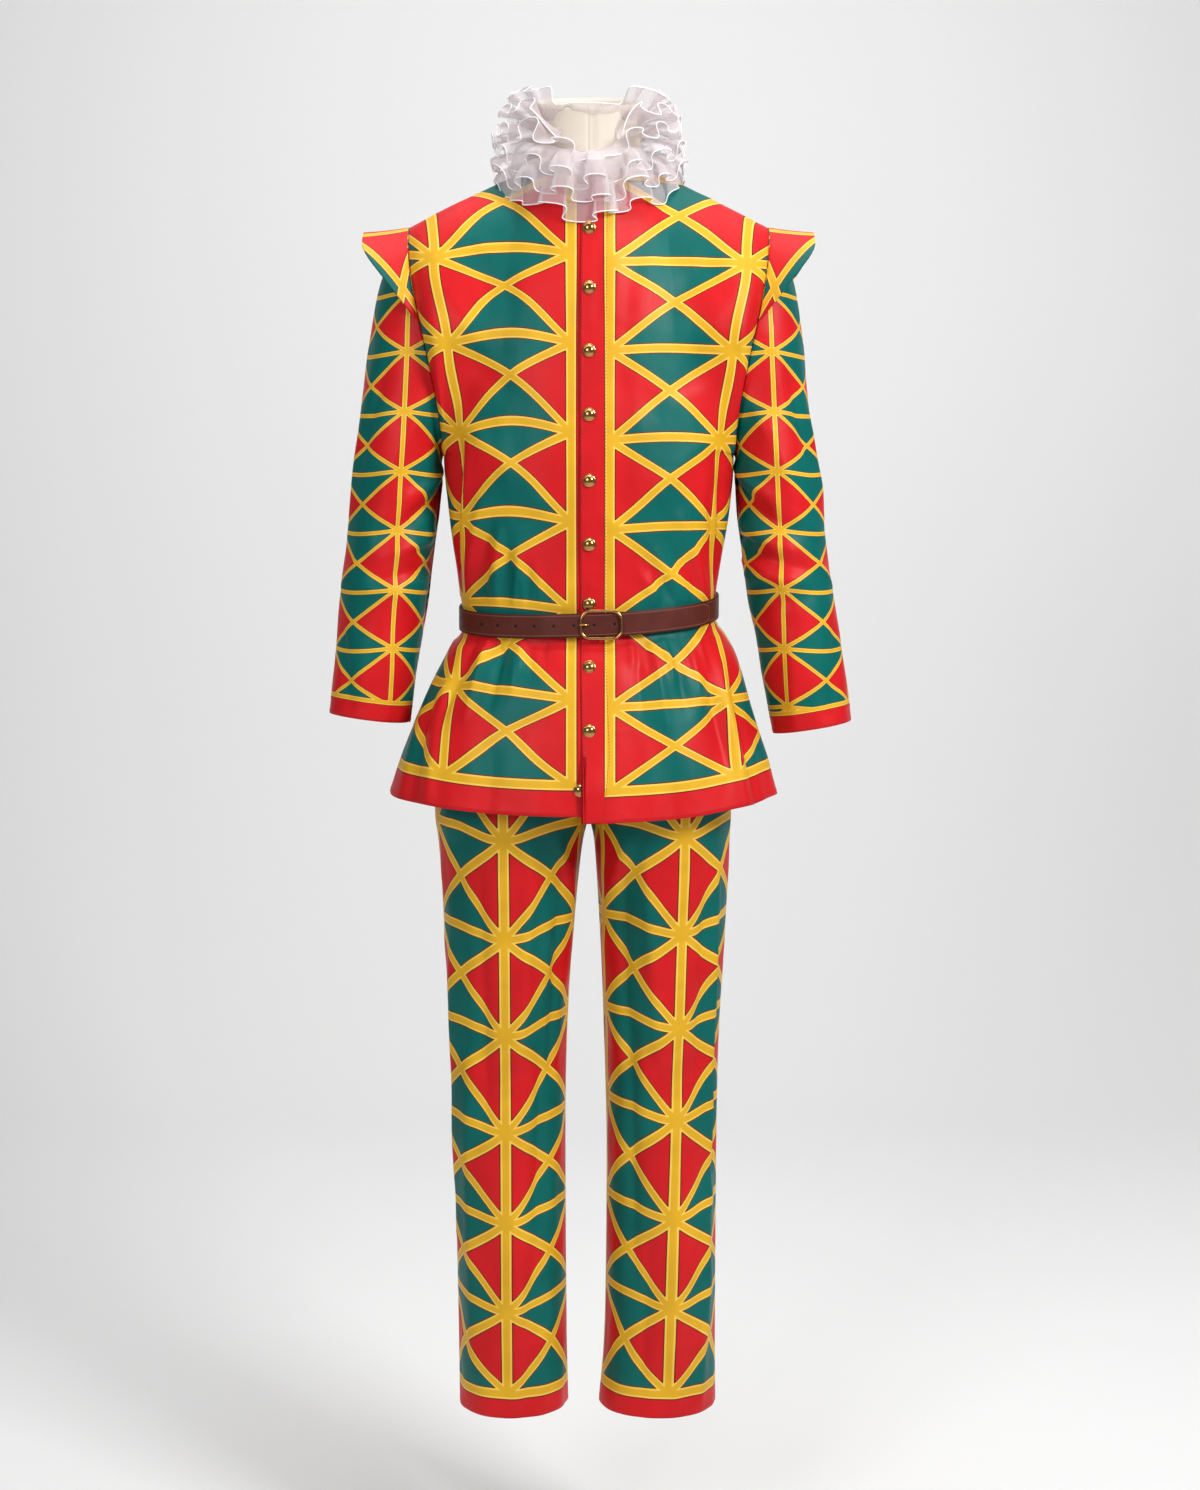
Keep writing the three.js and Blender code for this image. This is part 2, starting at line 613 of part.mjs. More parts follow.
const waistbandGrid = [-1, 1].map((end) =>
  ROUND.map((angle) => waistPoint(angle, -SATIN - SEAM, (end * WAISTBAND_HEIGHT) / 2 + WAISTBAND_DROP)),
);
addPiece("trouser_waistband", wall(waistbandGrid, SATIN, { closed: true }), COLOURS.lining, 0.6);

// Belt: one strap that starts at the buckle's bar, goes once round and ends as a tail over itself
const BELT_START = angleOfX(BUCKLE_X + BELT_BAR_CLEAR, WAIST.halfWidth, BODY_ROUNDNESS);
const BELT_CLEAR = OVER_LIFT + SEAM + 0.1;
const beltStations = [
  BELT_START,
  ...ROUND.map((angle) => (angle <= BELT_START ? angle + 360 : angle)),
  ...QUARTER.filter((angle) => angle > BELT_START && angle < BELT_TIP_ANGLE).map((angle) => angle + 360),
  360 + BELT_START,
  ...[0.4, 0.75, 1].map((share) => 360 + BELT_TIP_ANGLE - BELT_TIP_ROUND * (1 - share)),
].sort((a, b) => a - b);

function beltOffset(station) {
  const turned = smooth((station - BELT_STEPS_OUT.from) / (BELT_STEPS_OUT.to - BELT_STEPS_OUT.from));
  const angle = ((station + 180) % 360) - 180;
  const overFront = 1 - smooth((Math.abs(angle) - BELT_OVER_FRONT.full) / BELT_OVER_FRONT.fade);
  return SEAM + BELT_CLEAR * overFront + (LEATHER + SEAM) * turned;
}

function beltGeometry() {
  const points = [];
  const triangles = [];
  const end = beltStations.at(-1);
  beltStations.forEach((station) => {
    const fromTip = Math.min(1, (end - station) / BELT_TIP_ROUND);
    const half = (BELT_HEIGHT / 2) * Math.sqrt(1 - (1 - fromTip) ** 2 * BELT_TIP_BLUNT);
    const offset = beltOffset(station);
    for (const [depth, height] of [[0, -half], [LEATHER, -half], [LEATHER, half], [0, half]]) {
      points.push(waistPoint(station, offset + depth, height));
    }
  });
  const last = beltStations.length - 1;
  for (let i = 0; i < last; i++) {
    for (let k = 0; k < 4; k++) {
      const [a, b] = [i * 4 + k, i * 4 + ((k + 1) % 4)];
      triangles.push(a, b, b + 4, a, b + 4, a + 4);
    }
  }
  triangles.push(0, 2, 1, 0, 3, 2);
  triangles.push(last * 4, last * 4 + 1, last * 4 + 2, last * 4, last * 4 + 2, last * 4 + 3);
  return outwards(points, triangles);
}
addPiece("belt_strap", beltGeometry(), COLOURS.leather, 0.55);

// Joins closed geometries into one solid.
const wasm = await Module();
wasm.setup();
function toSolid(geometry) {
  const bare = geometry.clone();
  bare.deleteAttribute("normal");
  bare.deleteAttribute("uv");
  const merged = mergeVertices(bare, 1e-4);
  const mesh = new wasm.Mesh({
    numProp: 3,
    vertProperties: new Float32Array(merged.attributes.position.array),
    triVerts: new Uint32Array(merged.index.array),
  });
  return new wasm.Manifold(mesh);
}
function joined(geometries) {
  const mesh = geometries.map(toSolid).reduce((all, solid) => all.add(solid)).getMesh();
  const geometry = new THREE.BufferGeometry();
  geometry.setAttribute("position", new THREE.BufferAttribute(mesh.vertProperties, 3));
  return geometry.setIndex(new THREE.BufferAttribute(mesh.triVerts, 1));
}

// Buckle: a rounded frame in front of the strap, with the bar behind it that carries strap and prong
function roundedRectangle(shape, width, height, corner) {
  const x = width / 2 - corner;
  const y = height / 2 - corner;
  shape.moveTo(-x, -height / 2);
  shape.absarc(x, -y, corner, -Math.PI / 2, 0);
  shape.absarc(x, y, corner, 0, Math.PI / 2);
  shape.absarc(-x, y, corner, Math.PI / 2, Math.PI);
  shape.absarc(-x, -y, corner, Math.PI, 1.5 * Math.PI);
  return shape;
}

const buckleAngle = angleOfX(BUCKLE_X, WAIST.halfWidth, BODY_ROUNDNESS);
const BUCKLE_FRONT = beltOffset(360 + buckleAngle) + LEATHER + SEAM;
const buckleFace = waistPoint(buckleAngle, BUCKLE_FRONT, 0);

function buckleFrame() {
  const outline = roundedRectangle(new THREE.Shape(), BUCKLE_WIDTH, BUCKLE_HEIGHT, BUCKLE_CORNER);
  const innerWidth = BUCKLE_WIDTH - 2 * BUCKLE_BAR;
  const innerHeight = BUCKLE_HEIGHT - 2 * BUCKLE_BAR;
  outline.holes.push(roundedRectangle(new THREE.Path(), innerWidth, innerHeight, BUCKLE_CORNER - BUCKLE_BAR));
  const options = { depth: BUCKLE_DEPTH, bevelEnabled: false, curveSegments: 4 };
  const ring = new THREE.ExtrudeGeometry(outline, options);
  const barFront = -LEATHER - 2 * SEAM;
  const barDepth = LEATHER - SEAM;
  const bar = new THREE.BoxGeometry(BUCKLE_BAR_THICK, BUCKLE_HEIGHT, barDepth);
  bar.translate(0, 0, barFront - barDepth / 2);
  const lugHeight = (BUCKLE_HEIGHT - BELT_HEIGHT) / 2 - SEAM;
  const lugDepth = BUCKLE_DEPTH / 2 - barFront + barDepth;
  const lugs = [-1, 1].map((end) =>
    new THREE.BoxGeometry(BUCKLE_BAR_THICK, lugHeight, lugDepth).translate(
      0,
      (end * (BUCKLE_HEIGHT - lugHeight)) / 2,
      (BUCKLE_DEPTH - lugDepth) / 2,
    ),
  );
  return joined([ring, bar, ...lugs]);
}

// Turns a geometry that faces +Z in its own drawing to face the front, and places it.
const facingFront = (geometry, place) => geometry.rotateX(Math.PI / 2).translate(place.x, place.y, place.z);
addPiece("belt_buckle", facingFront(buckleFrame(), buckleFace), COLOURS.brass, 0.3, 0.9);

// Prong: comes out of a hole of the strap and rests on the frame's far side
function prong() {
  const farSide = -BUCKLE_WIDTH / 2;
  const onStrap = PRONG_RADIUS + SEAM;
  const onFrame = BUCKLE_DEPTH + PRONG_RADIUS + SEAM;
  const path = new THREE.CatmullRomCurve3([
    new THREE.Vector3(farSide + PRONG_OUT_OF_HOLE, 0, onStrap),
    new THREE.Vector3(farSide + 0.6 * PRONG_OUT_OF_HOLE, 0, mix(onStrap, onFrame, 0.55)),
    new THREE.Vector3(farSide + BUCKLE_BAR, 0, onFrame + 0.2),
    new THREE.Vector3(farSide - 0.5, 0, onFrame),
  ]);
  const section = new THREE.Shape().absarc(0, 0, PRONG_RADIUS, 0, 2 * Math.PI);
  return new THREE.ExtrudeGeometry(section, { extrudePath: path, steps: 6, curveSegments: 8 });
}
addPiece("belt_prong", facingFront(joined([prong()]), buckleFace), COLOURS.brass, 0.3, 0.9);

// Buttons: domed brass, set on the outer face of the front that carries them
function button() {
  const steps = 3;
  const dome = Array.from({ length: steps }, (_, i) => {
    const angle = rad((90 * (i + 1)) / steps);
    const height = BUTTON_RIM + (BUTTON_HEIGHT - BUTTON_RIM) * Math.sin(angle);
    return new THREE.Vector2(i === steps - 1 ? 0 : BUTTON_RADIUS * Math.cos(angle), height);
  });
  const back = [
    new THREE.Vector2(0, 0),
    new THREE.Vector2(BUTTON_RADIUS - BUTTON_RIM, 0),
    new THREE.Vector2(BUTTON_RADIUS, BUTTON_RIM),
  ];
  return new THREE.LatheGeometry([...back, ...dome], 12);
}

// The place and backward lean of the jacket's front at a height, read off one column of its panel.
function placeOnFront(side, column, level) {
  const line = frontGrid(side).map((row) => row[column]);
  const above = line.findIndex((point) => point.z >= level);
  const [low, high] = [line[above - 1], line[above]];
  const share = (level - low.z) / (high.z - low.z);
  return { y: mix(low.y, high.y, share), lean: Math.atan2(high.y - low.y, high.z - low.z) };
}

function addButton(number, side, column, x, level) {
  const { y, lean } = placeOnFront(side, column, level);
  const geometry = button().rotateX(Math.PI - lean).translate(x, y - BUTTON_CLEAR, level);
  addPiece("button_" + String(number).padStart(2, "0"), geometry, COLOURS.brass, 0.3, 0.9);
}
BUTTON_LEVELS.forEach((level, i) => addButton(i + 1, 1, 1, BUTTON_X, level));
addButton(BUTTON_LEVELS.length + 1, -1, 1, UNDER_BUTTON_X, UNDER_BUTTON_LEVEL);

// Ruff: a standing band inside the neckline, with frills sewn round it
const bandGrid = [0, 1].map((end) =>
  Array.from({ length: RUFF_BAND_COLUMNS }, (_, i) => {
    const point = neckPoint((360 * i) / RUFF_BAND_COLUMNS, -SEAM);
    point.z += mix(-RUFF_BAND_SUNK, RUFF_BAND_HEIGHT, end);
    return point;
  }),
);
addPiece("ruff_band", wall(bandGrid, SATIN, { closed: true }), COLOURS.band, 0.8);

// Between front, side and back values by angle.
function around(angle, front, side, back) {
  const c = Math.cos(rad(angle));
  return side + (c > 0 ? front - side : back - side) * c ** 2;
}

const FRILL_COLUMNS = RUFF_WAVES * POINTS_PER_WAVE;
const RUFF_ANGLES = Array.from({ length: FRILL_COLUMNS }, (_, i) => (360 * i) / FRILL_COLUMNS);
const waveAt = (angle) => Math.sin(rad(RUFF_WAVES * angle));

function tierPoint(tier, angle, share) {
  const start = neckPoint(angle);
  const startZ = start.z + tier.lift;
  const radius = around(angle, tier.front, tier.side, tier.back);
  const out = Math.sin(rad(90 * share));
  const down = 1 - Math.cos(rad(90 * share));
  const x = mix(start.x, radius * Math.sin(rad(angle)), out);
  const y = mix(start.y, -radius * Math.cos(rad(angle)), out);
  const rimZ = around(angle, tier.frontZ, tier.sideZ, tier.backZ);
  const z = mix(startZ, rimZ, down) + (tier.wave * share * (1 + waveAt(angle))) / 2;
  return new THREE.Vector3(x, y, z);
}

function topTierPoint(angle, share) {
  const fromFront = Math.abs(((angle + 180) % 360) - 180);
  const toSide = smooth((fromFront - TOP_TIER_GAP) / TOP_TIER_RISE);
  const toBack = smooth((fromFront - TOP_TIER_BACK.from) / TOP_TIER_BACK.fade);
  const { front, side, back } = TOP_TIER;
  const value = (key) => mix(mix(front[key], side[key], toSide), back[key], toBack);
  const start = neckPoint(angle);
  const radius = value("radius") + value("wave") * waveAt(angle) * share;
  const out = share ** TOP_TIER_FLARE;
  return new THREE.Vector3(
    mix(start.x, radius * Math.sin(rad(angle)), out),
    mix(start.y, -radius * Math.cos(rad(angle)), out),
    mix(start.z + value("lift"), value("z") + TOP_TIER_EDGE_WAVE * waveAt(angle), share),
  );
}

function frill(pointAt) {
  const grid = Array.from({ length: RUFF_ROWS }, (_, r) =>
    RUFF_ANGLES.map((angle) => pointAt(angle, r / (RUFF_ROWS - 1))),
  );
  return wall(grid, ORGANZA, {
    closed: true,
    edit: (inside, outside, r) => {
      if (r === 0) inside.set(outside.x, outside.y, outside.z + ORGANZA);
    },
  });
}
RUFF_TIERS.forEach((tier, i) => {
  const geometry = frill((angle, share) => tierPoint(tier, angle, share));
  addPiece("ruff_tier_" + (i + 1), geometry, COLOURS.organza, 0.7);
});
addPiece("ruff_tier_" + (RUFF_TIERS.length + 1), frill(topTierPoint), COLOURS.organza, 0.7);

export default root;
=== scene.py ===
import bpy, bmesh, math, random
from mathutils import Vector, Matrix, noise


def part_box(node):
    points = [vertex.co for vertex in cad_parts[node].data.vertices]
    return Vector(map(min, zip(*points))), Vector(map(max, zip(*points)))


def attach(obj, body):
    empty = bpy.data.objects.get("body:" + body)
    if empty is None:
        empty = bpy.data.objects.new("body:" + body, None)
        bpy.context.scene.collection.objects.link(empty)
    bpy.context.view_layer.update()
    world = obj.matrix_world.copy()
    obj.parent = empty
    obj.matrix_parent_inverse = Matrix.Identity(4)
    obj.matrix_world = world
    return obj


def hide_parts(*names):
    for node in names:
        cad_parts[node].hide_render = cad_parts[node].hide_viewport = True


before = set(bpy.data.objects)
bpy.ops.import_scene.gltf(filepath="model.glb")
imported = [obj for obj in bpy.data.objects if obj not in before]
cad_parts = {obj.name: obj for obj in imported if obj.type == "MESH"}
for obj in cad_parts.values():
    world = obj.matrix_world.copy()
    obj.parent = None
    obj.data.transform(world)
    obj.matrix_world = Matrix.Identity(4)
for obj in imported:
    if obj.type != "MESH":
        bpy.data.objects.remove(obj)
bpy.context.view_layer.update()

# Camera: eye at the height of the belt, looking slightly down, at the distance of a full-length studio shot,
# with the whole costume upright in the middle of the frame.
scene = bpy.context.scene
EYE = Vector((0.0132, -2.6, -0.468))
DOWN = math.radians(4.88)
LENS = 52.54
camera = bpy.data.objects.new("camera", bpy.data.cameras.new("camera"))
camera.data.lens = LENS
camera.data.sensor_width = 36
camera.location = EYE
camera.rotation_euler = (math.radians(90) - DOWN, 0, 0)
scene.collection.objects.link(camera)
scene.camera = camera
scene.view_settings.view_transform = "Standard"

# Studio: a pale sweep that is floor and backdrop in one, with a wide soft light on each side and one above.
# The costume hangs a hand above the floor.
FLOOR_LEVEL = -1.74
SWEEP_HALF_WIDTH = 4.5
SWEEP_BACK = 2.2
SWEEP_RADIUS = 1.2
SWEEP_HEIGHT = 5
sweep = bpy.data.meshes.new("studio_sweep")
bm = bmesh.new()
bmesh.ops.create_grid(bm, x_segments=1, y_segments=1, size=SWEEP_HALF_WIDTH)
bmesh.ops.translate(bm, verts=bm.verts, vec=(0, SWEEP_BACK - SWEEP_HALF_WIDTH, FLOOR_LEVEL))
back = [e for e in bm.edges if all(v.co.y > SWEEP_BACK - 0.01 for v in e.verts)]
turned = bmesh.ops.spin(bm, geom=back, cent=(0, SWEEP_BACK, FLOOR_LEVEL + SWEEP_RADIUS), axis=(1, 0, 0),
                        angle=math.radians(90), steps=16)
wall_edge = [g for g in turned["geom_last"] if isinstance(g, bmesh.types.BMEdge)]
raised = bmesh.ops.extrude_edge_only(bm, edges=wall_edge)["geom"]
wall_top = [g for g in raised if isinstance(g, bmesh.types.BMVert)]
bmesh.ops.translate(bm, verts=wall_top, vec=(0, 0, SWEEP_HEIGHT))
bm.to_mesh(sweep)
bm.free()
for polygon in sweep.polygons:
    polygon.use_smooth = True
floor = bpy.data.objects.new("studio_sweep", sweep)
scene.collection.objects.link(floor)
paper = bpy.data.materials.new("studio_paper")
paper.use_nodes = True
shader = paper.node_tree.nodes["Principled BSDF"]
shader.inputs["Base Color"].default_value = (0.90, 0.90, 0.90, 1)
shader.inputs["Roughness"].default_value = 0.9
sweep.materials.append(paper)

scene.world = bpy.data.worlds.new("studio")
scene.world.use_nodes = True
sky = scene.world.node_tree.nodes["Background"]
sky.inputs["Color"].default_value = (1, 1, 1, 1)
sky.inputs["Strength"].default_value = 0.22
for name, place, aim, size, power in (
    ("key", (1.7, -1.9, 0.8), (0, 0, -0.7), 0.8, 66),
    ("fill", (-1.2, -2.6, 0.3), (0, 0, -0.8), 0.9, 24),
    ("top", (0.2, -0.5, 1.9), (0, 0, -0.5), 1.0, 14),
    ("backdrop", (0, 0.6, 1.6), (0, 3.2, -0.9), 3.0, 38),
    ("ground", (0, 0.6, 1.8), (0, 1.6, -1.7), 2.4, 12),
):
    lamp = bpy.data.objects.new(name, bpy.data.lights.new(name, "AREA"))
    lamp.data.size = size
    lamp.data.energy = power
    lamp.location = place
    lamp.rotation_euler = (Vector(aim) - Vector(place)).to_track_quat("-Z", "Y").to_euler()
    scene.collection.objects.link(lamp)


# Printed satin: a red and green lattice with gold lines, on polyester satin with a fine slanting weave.
# The print is set out in cells on each cut piece, and a plain red band with a gold line ends each hem.
RED = (0.60, 0.009, 0.013, 1)
GREEN = (0.0, 0.118, 0.104, 1)
GOLD = (0.72, 0.40, 0.018, 1)
PALE = (0.88, 0.56, 0.09, 1)
OUTLINE = (0.13, 0.018, 0.008, 1)
# Level and slanting lines are a little narrower than upright ones, in shares of their width
LEVEL_LINE = 0.88
SLANT_LINE = 0.8
# A distance, in half widths of a line, at which no line shows
NO_LINE = 50.0


def shader_group(name, inputs, outputs):
    group = bpy.data.node_groups.new(name, "ShaderNodeTree")
    for socket, kind, value in inputs:
        made = group.interface.new_socket(socket, in_out="INPUT", socket_type=kind)
        if value is not None:
            made.default_value = value
    for socket, kind in outputs:
        group.interface.new_socket(socket, in_out="OUTPUT", socket_type=kind)
    return group


class Wires:
    """Adds maths and colour nodes to a node tree, one after the other."""

    def __init__(self, tree):
        self.tree = tree

    def node(self, kind, **settings):
        made = self.tree.nodes.new(kind)
        for key, value in settings.items():
            setattr(made, key, value)
        return made

    def put(self, socket, value):
        if isinstance(value, bpy.types.NodeSocket):
            self.tree.links.new(value, socket)
        else:
            socket.default_value = value

    def maths(self, operation, *values, clamp=False):
        made = self.node("ShaderNodeMath", operation=operation, use_clamp=clamp)
        for socket, value in zip(made.inputs, values):
            self.put(socket, value)
        return made.outputs[0]

    def ramp_between(self, value, low, high):
        made = self.node("ShaderNodeMapRange", interpolation_type="SMOOTHSTEP")
        for socket, given in zip(made.inputs, (value, low, high, 0, 1)):
            self.put(socket, given)
        return made.outputs[0]

    def mix(self, share, low, high):
        made = self.node("ShaderNodeMix", data_type="RGBA")
        self.put(made.inputs["Factor"], share)
        self.put(made.inputs[6], low)
        self.put(made.inputs[7], high)
        return made.outputs[2]


lattice = shader_group("lattice_print", [
    ("Cells", "NodeSocketVector", None),
    ("Cell Width", "NodeSocketFloat", 0.148),
    ("Cell Height", "NodeSocketFloat", 0.101),
    ("Line", "NodeSocketFloat", 0.0115),
    ("Band", "NodeSocketFloat", 0.03),
], [("Color", "NodeSocketColor"), ("Line Mask", "NodeSocketFloat")])
w = Wires(lattice)
given = w.node("NodeGroupInput")
cells = w.node("ShaderNodeSeparateXYZ")
w.put(cells.inputs[0], given.outputs["Cells"])
x, y, above_hem = cells.outputs
width, height, line, band = (given.outputs[n] for n in ("Cell Width", "Cell Height", "Line", "Band"))
half_line = w.maths("MULTIPLY", line, 0.5)
across = w.maths("PINGPONG", x, 0.5)
up = w.maths("PINGPONG", y, 0.5)
# How far from the upright, level and slanting lines, counted in half widths of a line
plain = w.maths("LESS_THAN", x, 0.0)
far = w.maths("MULTIPLY", plain, NO_LINE)
to_upright = w.maths("DIVIDE", w.maths("MULTIPLY", across, width), half_line)
to_level = w.maths("DIVIDE", w.maths("MULTIPLY", up, height), w.maths("MULTIPLY", half_line, LEVEL_LINE))
to_level = w.maths("ADD", to_level, far)
diagonal = w.maths("SQRT", w.maths("ADD", w.maths("POWER", width, 2.0), w.maths("POWER", height, 2.0)))
slant_scale = w.maths("DIVIDE", w.maths("MULTIPLY", width, height), diagonal)
off_slant = w.maths("ABSOLUTE", w.maths("SUBTRACT", across, up))
to_slant = w.maths("DIVIDE", w.maths("MULTIPLY", off_slant, slant_scale),
                   w.maths("MULTIPLY", half_line, SLANT_LINE))
to_slant = w.maths("ADD", to_slant, far)
near = w.maths("MINIMUM", to_level, to_slant)
near = w.maths("SMOOTH_MIN", to_upright, near, 0.5)
# The hem's gold line, and the plain band below it
hem_line = w.maths("ADD", band, half_line)
to_hem = w.maths("DIVIDE", w.maths("ABSOLUTE", w.maths("SUBTRACT", above_hem, hem_line)), half_line)
below = w.maths("LESS_THAN", above_hem, hem_line)
past_edge = w.maths("LESS_THAN", w.maths("MULTIPLY", x, width), w.maths("MULTIPLY", half_line, -1.0))
to_hem = w.maths("ADD", to_hem, w.maths("MULTIPLY", past_edge, NO_LINE))
near = w.maths("SMOOTH_MIN", w.maths("ADD", near, w.maths("MULTIPLY", below, NO_LINE)), to_hem, 0.3)
printed = w.maths("SUBTRACT", 1.0, w.maths("MAXIMUM", plain, below))
green = w.maths("MULTIPLY", w.maths("LESS_THAN", up, across), printed)
# From the field to the middle of a line: red or green, the dark outline, pale gold at its edge, gold
field = w.mix(green, RED, GREEN)
stripe = w.mix(w.ramp_between(near, 0.60, 0.66), GOLD, PALE)
edged = w.mix(w.ramp_between(near, 0.96, 1.01), stripe, OUTLINE)
colour = w.mix(w.ramp_between(near, 1.13, 1.30), edged, field)
out = w.node("NodeGroupOutput")
w.put(out.inputs["Color"], colour)
w.put(out.inputs["Line Mask"], w.ramp_between(near, 1.05, 0.95))

# The weave: fine slanting floats, streaks along the thread, and a cloudy noise where the cloth lies uneven,
# which dents the cloth and gives its painted shade
weave = shader_group("satin_weave", [
    ("Cloth", "NodeSocketVector", None),
    ("Slub", "NodeSocketFloat", 1.0),
], [("Height", "NodeSocketFloat"), ("Streak", "NodeSocketFloat"), ("Shade", "NodeSocketFloat")])
w = Wires(weave)
given = w.node("NodeGroupInput")
twill = w.node("ShaderNodeTexWave", wave_type="BANDS", bands_direction="DIAGONAL", wave_profile="SIN")
w.put(twill.inputs["Vector"], given.outputs["Cloth"])
for socket, value in (("Scale", 420.0), ("Distortion", 0.6), ("Detail", 1.0), ("Detail Scale", 1.0)):
    twill.inputs[socket].default_value = value
lengthwise = w.node("ShaderNodeMapping")
w.put(lengthwise.inputs["Vector"], given.outputs["Cloth"])
lengthwise.inputs["Scale"].default_value = (420, 14, 1)
streak = w.node("ShaderNodeTexNoise")
w.put(streak.inputs["Vector"], lengthwise.outputs[0])
streak.inputs["Scale"].default_value = 1.0
streak.inputs["Detail"].default_value = 3.0
cloudy = w.node("ShaderNodeTexNoise")
w.put(cloudy.inputs["Vector"], given.outputs["Cloth"])
cloudy.inputs["Scale"].default_value = 13.0
cloudy.inputs["Detail"].default_value = 2.0
cloudy.inputs["Distortion"].default_value = 0.8
streaks = w.maths("MULTIPLY", streak.outputs[0], given.outputs["Slub"])
out = w.node("NodeGroupOutput")
w.put(out.inputs["Height"], w.maths("ADD", w.maths("MULTIPLY", twill.outputs[1], 0.35), streaks))
w.put(out.inputs["Streak"], streaks)
w.put(out.inputs["Shade"], cloudy.outputs[0])


def material(name):
    made = bpy.data.materials.new(name)
    made.use_nodes = True
    return made, Wires(made.node_tree), made.node_tree.nodes["Principled BSDF"]


def printed_satin(name, cell_width, cell_height, line, band):
    made, w, shader = material(name)
    cells = w.node("ShaderNodeAttribute", attribute_name="cells")
    cloth = w.node("ShaderNodeUVMap", uv_map="cloth")
    print_group = w.node("ShaderNodeGroup", node_tree=lattice)
    w.put(print_group.inputs["Cells"], cells.outputs["Vector"])
    for socket, value in (("Cell Width", cell_width), ("Cell Height", cell_height),
                          ("Line", line), ("Band", band)):
        print_group.inputs[socket].default_value = value
    weave_group = w.node("ShaderNodeGroup", node_tree=weave)
    w.put(weave_group.inputs["Cloth"], cloth.outputs[0])
    # Painted shade: the cloudy noise darkens the print in soft patches, standing in for the satin's uneven
    # sheen
    shade = w.ramp_between(weave_group.outputs["Shade"], 0.3, 0.7)
    print_with_painted_shade = w.node("ShaderNodeMix", data_type="RGBA", blend_type="MULTIPLY")
    w.put(print_with_painted_shade.inputs["Factor"], w.maths("MULTIPLY", shade, 0.30))
    w.put(print_with_painted_shade.inputs[6], print_group.outputs["Color"])
    print_with_painted_shade.inputs[7].default_value = (0.55, 0.5, 0.5, 1)
    w.put(shader.inputs["Base Color"], print_with_painted_shade.outputs[2])
    duller = w.maths("MULTIPLY", weave_group.outputs["Streak"], 0.16)
    w.put(shader.inputs["Roughness"], w.maths("ADD", 0.36, duller))
    dents = w.node("ShaderNodeBump")
    dents.inputs["Strength"].default_value = 0.5
    dents.inputs["Distance"].default_value = 0.004
    w.put(dents.inputs["Height"], weave_group.outputs["Shade"])
    bump = w.node("ShaderNodeBump")
    bump.inputs["Strength"].default_value = 0.12
    bump.inputs["Distance"].default_value = 0.0003
    w.put(bump.inputs["Height"], weave_group.outputs["Height"])
    w.put(bump.inputs["Normal"], dents.outputs[0])
    w.put(shader.inputs["Normal"], bump.outputs[0])
    shader.inputs["Specular IOR Level"].default_value = 0.15
    return made


# Jacket: two fronts and a back of printed satin, cut to the waist and flared below it. The wearer's left
# front laps over the right one. Each panel is sewn at the side and shoulder, and its hem is turned up.
CLOTH = 0.0012
SEAM = 0.0003
JACKET_CELL = (0.148, 0.1007)
JACKET_SATIN = printed_satin("jacket_satin", *JACKET_CELL, line=0.0116, band=0.030)
BODY_COLUMNS = ("z", "half_width", "front", "back", "shift", "belt", "hem")
BODY_ROWS = [dict(zip(BODY_COLUMNS, row)) for row in (
    (-0.345, 0.1715, 0.118, 0.112, 0, 0, 0),
    (-0.405, 0.1665, 0.115, 0.108, 0, 0.3, 0),
    (-0.440, 0.162, 0.112, 0.104, 0, 0.6, 0),
    (-0.511, 0.1515, 0.106, 0.100, 0, 1, 0),
    (-0.547, 0.1515, 0.106, 0.100, 0, 1, 0),
    (-0.560, 0.162, 0.112, 0.107, -0.001, 0.9, 0),
    (-0.582, 0.174, 0.122, 0.118, 0.0005, 0.6, 0),
    (-0.614, 0.187, 0.131, 0.127, -0.002, 0.3, 0.2),
    (-0.655, 0.201, 0.139, 0.135, -0.005, 0.1, 0.5),
    (-0.700, 0.2165, 0.147, 0.143, -0.007, 0, 0.8),
    (-0.743, 0.229, 0.153, 0.149, -0.008, 0, 1),
)]
# Soft folds of the skirt, as angle round the body, half width and height: 0 is the front, and 90 is the
# wearer's left
SKIRT_FOLDS = (
    (-66, 13, 0.006), (-38, 12, 0.003), (32, 11, 0.003), (58, 10, 0.006), (78, 8, 0.007),
    (112, 12, 0.006), (146, 13, 0.005), (180, 13, 0.005), (-142, 13, 0.005), (-108, 12, 0.006),
)
HEM_DIP = 0.016
BELT_LEVEL = -0.529
BELT_DIP_FRONT = 0.014
BELT_RISE_LEFT = 0.007
NECK = (0.064, 0.066)
NECK_LEVEL = -0.0105
NECK_LEAN = 0.018
NECK_COLUMN = 32
SHOULDER_SLOPE = 0.475
SHOULDER_TIP = 0.210
UNDERARM = (0.1715, -0.345)
ARMHOLE_HALF_DEPTH = 0.066
BODY_ROUNDNESS = 2.3
# How sharply the armhole pulls the yoke out to the side, at the underarm and on the shoulder
PULL_POWER = (16, 4)
PULL_CHANGES_BY = 0.45
YOKE_ROWS = 48
# The front edges from the middle, above and at the hem, and how far the over front stands off the under
# front: along its edge, more at the hem, and where the low button pushes it out
OVER_EDGE = (-0.010, -0.004)
UNDER_EDGE = 0.018
OVER_DROP = 0.008
OVER_LIFT = 0.0020
OVER_LIFT_HEM = 0.0014
OVER_LIFT_X = 0.022
OVER_LIFT_FADE = 0.026
FLAP_LIFT = 0.006
FLAP_LEVEL = -0.729
FLAP_REACH = 0.034
FLAP_X = -0.008
FLAP_FADE = 0.040


def mix(low, high, share):
    return low + (high - low) * share


def smooth(value):
    value = min(1.0, max(0.0, value))
    return value * value * (3 - 2 * value)


